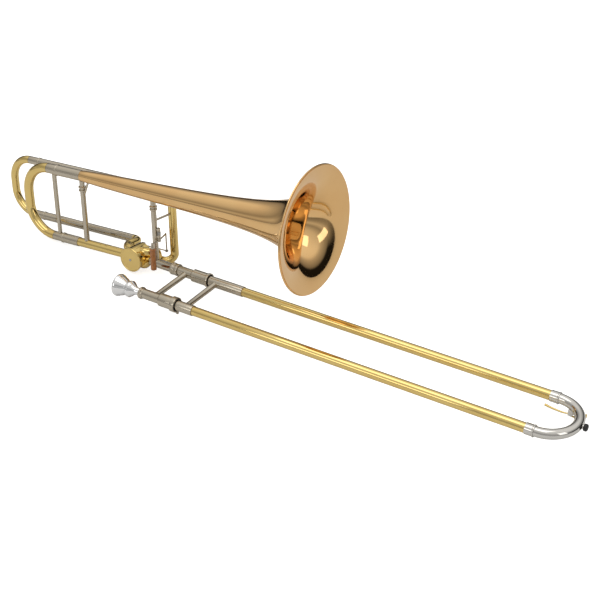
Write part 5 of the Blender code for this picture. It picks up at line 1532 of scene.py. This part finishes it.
def build_link(stand, lever_end):
    """The rod from the lever's drop arm back to the stop arm's pin, with a slotted eye there."""
    pin = stop_place(Vector((ROTOR_X, 0, ROTOR_Z)), STOP_REST, STOP_ARM_LENGTH, LINK_SIDE)
    front = Vector((lever_end.x, lever_end.y, LINK_Z))
    back = Vector((pin.x, LINK_SIDE, LINK_Z))
    bore = LINK_RADIUS + RUNNING
    hub = tube(front - Z_AXIS * LINK_HALF, front + Z_AXIS * LINK_HALF, bore + 0.0013, bore)
    link = piece("trigger_link", "steel", hub, front, stand)
    slot_half = STOP_PIN_RADIUS + PIN_PLAY
    slot_reach = STOP_ARM_LENGTH * (1 - cos(STOP_TURN / 2)) / 2 + STOP_PIN_RADIUS + PIN_PLAY
    bar = rod(front - X_AXIS * (bore + 0.0007), back + X_AXIS * (slot_half + EYE_RIM / 2), 0.0011)
    eye_corner = Vector((slot_half + EYE_RIM, LINK_HALF, slot_reach + EYE_RIM))
    slot_corner = Vector((slot_half, 0.01, slot_reach))
    eye = box(back - eye_corner, back + eye_corner)
    slot = box(back - slot_corner, back + slot_corner)
    join_shapes(link, "link", stand, bar=bar, eye=eye)
    cut(link, helper("link_slot", slot, stand))


def build_neckpipe():
    """The receiver for the hand slide: it lies on the slide's own axis, not the bell stand's."""
    start_x = BELL_FRAME_X + (ROTOR_X + PORT_REACH + KNUCKLE_RUN) * cos(BELL_TILT) + 0.0009
    collar = BARREL_THIN - 0.0002
    bore = TENON_RADIUS + RUNNING
    outline = [
        (start_x, KNUCKLE_BORE),
        (start_x, MAIN_TUBE_RADIUS),
        (NUT_BACK - 0.0040, MAIN_TUBE_RADIUS),
        (NUT_BACK - 0.0030, collar),
        (BARREL_BACK - GAP, collar),
        (BARREL_BACK - GAP, bore),
        (TENON_BACK - 0.0010, bore),
        (TENON_BACK - 0.0020, KNUCKLE_BORE - 0.0005),
    ]
    piece("neckpipe", "nickel_silver", turned(outline, slide_point(0, FAR_Y)), slide_point(NUT_BACK, FAR_Y))


def build_bell_supports(stand):
    """The two braces to the bell, each with a stay, and the strut across to the attachment's upper tube."""
    tail = max(UPPER_SLEEVE_RADIUS, bell_radius_at(REAR_BRACE_X + UPRIGHT_RADIUS + FOOT_FLARE))
    low, high = (0, MAIN_TUBE_RADIUS), (LEG_SPACING, tail)
    rings = REAR_BRACE_RINGS
    rear = upright_brace(stand, "rear_bell_brace", REAR_BRACE_X, low, high, UPRIGHT_RADIUS, rings=rings)
    start = Vector((REAR_BRACE_X + UPRIGHT_RADIUS * 0.5, 0, REAR_STAY_LOW))
    end = Vector((REAR_STAY_X, 0, LEG_SPACING - 0.0070))
    bell_place = (REAR_STAY_X, 0, LEG_SPACING)
    add_stay(stand, rear, "rear_stay", start, end, bell_place, X_AXIS, bell_radius_at(REAR_STAY_X), 0.012)
    low = (-FRONT_BRACE_X * sin(BELL_TILT), MAIN_TUBE_RADIUS)
    high = (LEG_SPACING, bell_radius_at(FRONT_BRACE_X + UPRIGHT_RADIUS + 2 * FOOT_FLARE))
    rings, along = FRONT_BRACE_RINGS, NECK_DIRECTION
    front = upright_brace(
        stand, "front_bell_brace", FRONT_BRACE_X, low, high, UPRIGHT_RADIUS, rings=rings, low_direction=along
    )
    start = Vector((FRONT_BRACE_X, 0, CROOK_STAY_Z))
    end = Vector((F_FRONT_X, F_SIDE - F_TUBE_RADIUS * 0.5, CROOK_STAY_Z))
    crook_place = (F_FRONT_X, F_SIDE, CROOK_STAY_Z)
    add_stay(stand, front, "crook_stay", start, end, crook_place, Z_AXIS, F_TUBE_RADIUS, 0.010)
    start = Vector((F_STRUT_X, UPPER_SLEEVE_RADIUS * SEAT, LEG_SPACING - 0.003))
    end = Vector((F_STRUT_X, F_SIDE - 0.004, F_HIGH + 0.0012))
    strut = piece("f_upper_strut", "nickel_silver", rod(start, end, STAY_RADIUS * 1.4), start, stand)
    main_place, f_place = (F_STRUT_X, 0, LEG_SPACING), (F_STRUT_X, F_SIDE, F_HIGH)
    cut(
        strut,
        saddle_cutter("strut_main_cutter", main_place, X_AXIS, UPPER_SLEEVE_RADIUS, parent=stand),
        saddle_cutter("strut_f_cutter", f_place, X_AXIS, F_SLEEVE_RADIUS, parent=stand),
    )


def add_stay(stand, brace, name, start, end, place, direction, radius, reach):
    """A thin stay from a brace to the tube at a place, saddled onto that tube."""
    join(brace, helper(name, rod(start, end, STAY_RADIUS), stand))
    cut(brace, saddle_cutter(f"{name}_cutter", place, direction, radius, reach, stand))


def build_mouth_painted_shade_rings():
    """The dark rings in the mouths of the two barrels, round the slide: painted shade, black rubber standing
    for the shadowed gap between barrel and sleeve.
    """
    for side, y in SIDES:
        start = slide_point(BARREL_FRONT - 0.0010, y)
        ring = tube(start, start + X_AXIS * 0.0016, POCKET_RADIUS + 0.0012, POCKET_RADIUS - 0.0001)
        # painted shade: the black rubber finish stands for the shadow in the gap round the slide
        piece(f"{side}_mouth_ring", "rubber", ring, body="inner_slide")


def build_cap_screw(stand):
    """The screw in the middle of the rotor cap."""
    radius = sizes().screw_radius
    face = Vector((ROTOR_X, CASING_NEAR - CAP_THICKNESS - GAP, ROTOR_Z))
    outline = [(-0.0007, 0), (-0.0005, radius * 0.7), (-0.0001, radius), (0.0022, radius), (0.0022, 0)]
    mesh_data = turned(outline, face, Y_AXIS, closed=False)
    screw = piece("cap_screw", "steel", mesh_data, face, stand, "bell_section")
    slot_low = face - Vector((0.00025, 0.002, 0.003))
    slot_high = face + Vector((0.00025, -0.0002, 0.003))
    cut(screw, helper("cap_screw_slot", box(slot_low, slot_high), stand))


# Stage


def build_floor():
    """A pale floor from under the camera outward, which glows only where the camera sees it."""
    ahead = Vector((CAMERA_AHEAD[0], CAMERA_AHEAD[1], 0)).normalized()
    mesh_data = bmesh.new()
    bmesh.ops.create_grid(mesh_data, x_segments=1, y_segments=1, size=FLOOR_HALF)
    floor = add_object("floor", mesh_data, (0, 0, 0), None)
    middle = Vector((CAMERA_PLACE[0], CAMERA_PLACE[1], 0)) + ahead * (FLOOR_AHEAD + FLOOR_HALF)
    floor.location = (middle.x, middle.y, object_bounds()[0].z - sizes().floor_gap)
    floor.rotation_euler = (0, 0, X_AXIS.angle(ahead))
    material = bpy.data.materials.new("floor_finish")
    material.use_nodes = True
    shader = material.node_tree.nodes["Principled BSDF"]
    shader.inputs["Base Color"].default_value = shaded(colours().floor)
    shader.inputs["Roughness"].default_value = 0.9
    shader.inputs["Specular IOR Level"].default_value = 0.1
    shader.inputs["Emission Color"].default_value = shaded((1, 1, 1))
    sight = material.node_tree.nodes.new("ShaderNodeLightPath")
    glow = material.node_tree.nodes.new("ShaderNodeMath")
    glow.operation = "MULTIPLY"
    glow.inputs[1].default_value = FLOOR_GLOW
    material.node_tree.links.new(sight.outputs["Is Camera Ray"], glow.inputs[0])
    material.node_tree.links.new(glow.outputs["Value"], shader.inputs["Emission Strength"])
    floor.data.materials.append(material)
    floor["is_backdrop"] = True


def sky_ramp(tree, height, levels):
    """The brightness of one side of the room, from straight down to straight up."""
    ramp = tree.nodes.new("ShaderNodeValToRGB")
    tree.links.new(height, ramp.inputs["Fac"])
    points = ramp.color_ramp.elements
    points[0].position, points[1].position = levels[0][0], levels[-1][0]
    for position, _ in levels[1:-1]:
        points.new(position)
    for point, (_, level) in zip(points, levels):
        point.color = (level, level * SKY_WARMTH[0], level * SKY_WARMTH[1], 1.0)
    return ramp.outputs["Color"]


def build_sky():
    """Soft light from all round, brighter above. Behind the object a dark band lies near the horizon."""
    world = bpy.data.worlds.new("soft_room")
    world.use_nodes = True
    tree = world.node_tree
    place = tree.nodes.new("ShaderNodeTexCoord")
    parts = tree.nodes.new("ShaderNodeSeparateXYZ")
    tree.links.new(place.outputs["Generated"], parts.inputs["Vector"])
    height = spread(tree, parts.outputs["Z"], -1.0, 1.0, 0.0, 1.0)
    behind = spread(tree, parts.outputs["Y"], -0.35, 0.25, 0.0, 1.0)
    front, back = sky_ramp(tree, height, FRONT_SKY), sky_ramp(tree, height, BACK_SKY)
    room = blended(tree, behind, front, back)
    white = tree.nodes.new("ShaderNodeRGB")
    white.outputs[0].default_value = shaded((1, 1, 1))
    seen = tree.nodes.new("ShaderNodeLightPath").outputs["Is Camera Ray"]
    tree.links.new(blended(tree, seen, room, white.outputs[0]), tree.nodes["Background"].inputs["Color"])
    bpy.context.scene.world = world


def add_light(name, place, aim, width, height, power):
    light = bpy.data.lights.new(name, "AREA")
    light.shape = "RECTANGLE"
    light.size, light.size_y = width, height
    light.energy = power
    obj = bpy.data.objects.new(name, light)
    bpy.context.scene.collection.objects.link(obj)
    obj.location = place
    obj.rotation_mode = "QUATERNION"
    obj.rotation_quaternion = (Vector(aim) - Vector(place)).to_track_quat("-Z", "Y")


def build_camera():
    camera = bpy.data.cameras.new("camera")
    camera.lens, camera.sensor_width = CAMERA_LENS, CAMERA_SENSOR
    camera.clip_start, camera.clip_end = 0.05, 60.0
    obj = bpy.data.objects.new("camera", camera)
    bpy.context.scene.collection.objects.link(obj)
    right, down, ahead = (Vector(axis) for axis in (CAMERA_RIGHT, CAMERA_DOWN, CAMERA_AHEAD))
    turn = Matrix((right, -down, -ahead)).transposed().to_4x4()
    obj.matrix_world = Matrix.Translation(CAMERA_PLACE) @ turn
    bpy.context.scene.camera = obj


# Operators, panel and registration


class TROMBONE_OT_inner_slide(bpy.types.Operator):
    """Builds the inner slide, its barrels, brace and corks"""

    bl_idname = "trombone.inner_slide"
    bl_label = "Inner slide"

    def execute(self, context):
        build_inner_slide()
        # painted shade: black rings where the barrels' mouths lie in shadow
        build_mouth_painted_shade_rings()
        settle()
        return {"FINISHED"}


class TROMBONE_OT_locks(bpy.types.Operator):
    """Builds the slide lock's ring and the bell's lock nut"""

    bl_idname = "trombone.locks"
    bl_label = "Locks"

    def execute(self, context):
        build_locks()
        settle()
        return {"FINISHED"}


class TROMBONE_OT_mouthpiece(bpy.types.Operator):
    """Builds the mouthpiece"""

    bl_idname = "trombone.mouthpiece"
    bl_label = "Mouthpiece"

    def execute(self, context):
        build_mouthpiece()
        settle()
        return {"FINISHED"}


class TROMBONE_OT_outer_slide(bpy.types.Operator):
    """Builds the outer slide with its crook, bumper and water key"""

    bl_idname = "trombone.outer_slide"
    bl_label = "Outer slide"

    def execute(self, context):
        build_outer_slide()
        settle()
        return {"FINISHED"}


def with_stand(*builders):
    """Runs builders in the bell section's own frame, which is removed again."""
    stand = bell_stand()
    for builder in builders:
        builder(stand)
    settle()
    bpy.data.objects.remove(stand)


class TROMBONE_OT_bell(bpy.types.Operator):
    """Builds the bell"""

    bl_idname = "trombone.bell"
    bl_label = "Bell"

    def execute(self, context):
        with_stand(build_bell)
        return {"FINISHED"}


class TROMBONE_OT_main_line(bpy.types.Operator):
    """Builds the neckpipe, the main tubing and its tuning slide"""

    bl_idname = "trombone.main_line"
    bl_label = "Main line"

    def execute(self, context):
        build_neckpipe()
        with_stand(build_main_line)
        return {"FINISHED"}


class TROMBONE_OT_attachment(bpy.types.Operator):
    """Builds the attachment's tubing and its tuning slide"""

    bl_idname = "trombone.attachment"
    bl_label = "Attachment tubing"

    def execute(self, context):
        with_stand(build_f_line)
        return {"FINISHED"}


class TROMBONE_OT_valve(bpy.types.Operator):
    """Builds the rotor, its casing, cap, stop arm and stops"""

    bl_idname = "trombone.valve"
    bl_label = "Rotor valve"

    def execute(self, context):
        with_stand(build_rotor, build_cap_screw)
        return {"FINISHED"}


class TROMBONE_OT_trigger(bpy.types.Operator):
    """Builds the thumb trigger, its hinge and spring, and the link"""

    bl_idname = "trombone.trigger"
    bl_label = "Thumb trigger"

    def execute(self, context):
        with_stand(build_trigger)
        return {"FINISHED"}


class TROMBONE_OT_supports(bpy.types.Operator):
    """Builds the braces between the main tube and the bell"""

    bl_idname = "trombone.supports"
    bl_label = "Bell braces"

    def execute(self, context):
        with_stand(build_bell_supports)
        return {"FINISHED"}


class TROMBONE_OT_stage(bpy.types.Operator):
    """Builds the floor, the soft light and the camera"""

    bl_idname = "trombone.stage"
    bl_label = "Stage"

    def execute(self, context):
        build_floor()
        build_sky()
        for name, place, aim, width, height, share in LIGHTS:
            add_light(name, place, aim, width, height, share * sizes().key_light)
        build_camera()
        context.scene.view_settings.view_transform = "Standard"
        return {"FINISHED"}


class TROMBONE_PT_panel(bpy.types.Panel):
    """The trombone's sizes, colours and pieces"""

    bl_idname = "TROMBONE_PT_panel"
    bl_label = "Trombone"
    bl_space_type = "VIEW_3D"
    bl_region_type = "UI"
    bl_category = "Trombone"

    def draw(self, context):
        for group in (context.scene.trombone_sizes, context.scene.trombone_colours):
            for label in group.bl_rna.properties.keys():
                if label not in ("rna_type", "name"):
                    self.layout.prop(group, label)
        for operator in OPERATORS:
            self.layout.operator(operator.bl_idname)


OPERATORS = (
    TROMBONE_OT_inner_slide,
    TROMBONE_OT_locks,
    TROMBONE_OT_mouthpiece,
    TROMBONE_OT_outer_slide,
    TROMBONE_OT_bell,
    TROMBONE_OT_main_line,
    TROMBONE_OT_attachment,
    TROMBONE_OT_valve,
    TROMBONE_OT_trigger,
    TROMBONE_OT_supports,
    TROMBONE_OT_stage,
)
CLASSES = (TromboneSizes, TromboneColours, *OPERATORS, TROMBONE_PT_panel)


def register():
    for made in CLASSES:
        bpy.utils.register_class(made)
    bpy.types.Scene.trombone_sizes = PointerProperty(type=TromboneSizes)
    bpy.types.Scene.trombone_colours = PointerProperty(type=TromboneColours)


def unregister():
    del bpy.types.Scene.trombone_colours
    del bpy.types.Scene.trombone_sizes
    for made in reversed(CLASSES):
        bpy.utils.unregister_class(made)


def clear_startup():
    for name in ("Cube", "Light", "Camera"):
        if name in bpy.data.objects:
            bpy.data.objects.remove(bpy.data.objects[name])


def main():
    register()
    clear_startup()
    for operator in OPERATORS:
        group, name = operator.bl_idname.split(".")
        getattr(getattr(bpy.ops, group), name)()


if __name__ == "__main__":
    main()
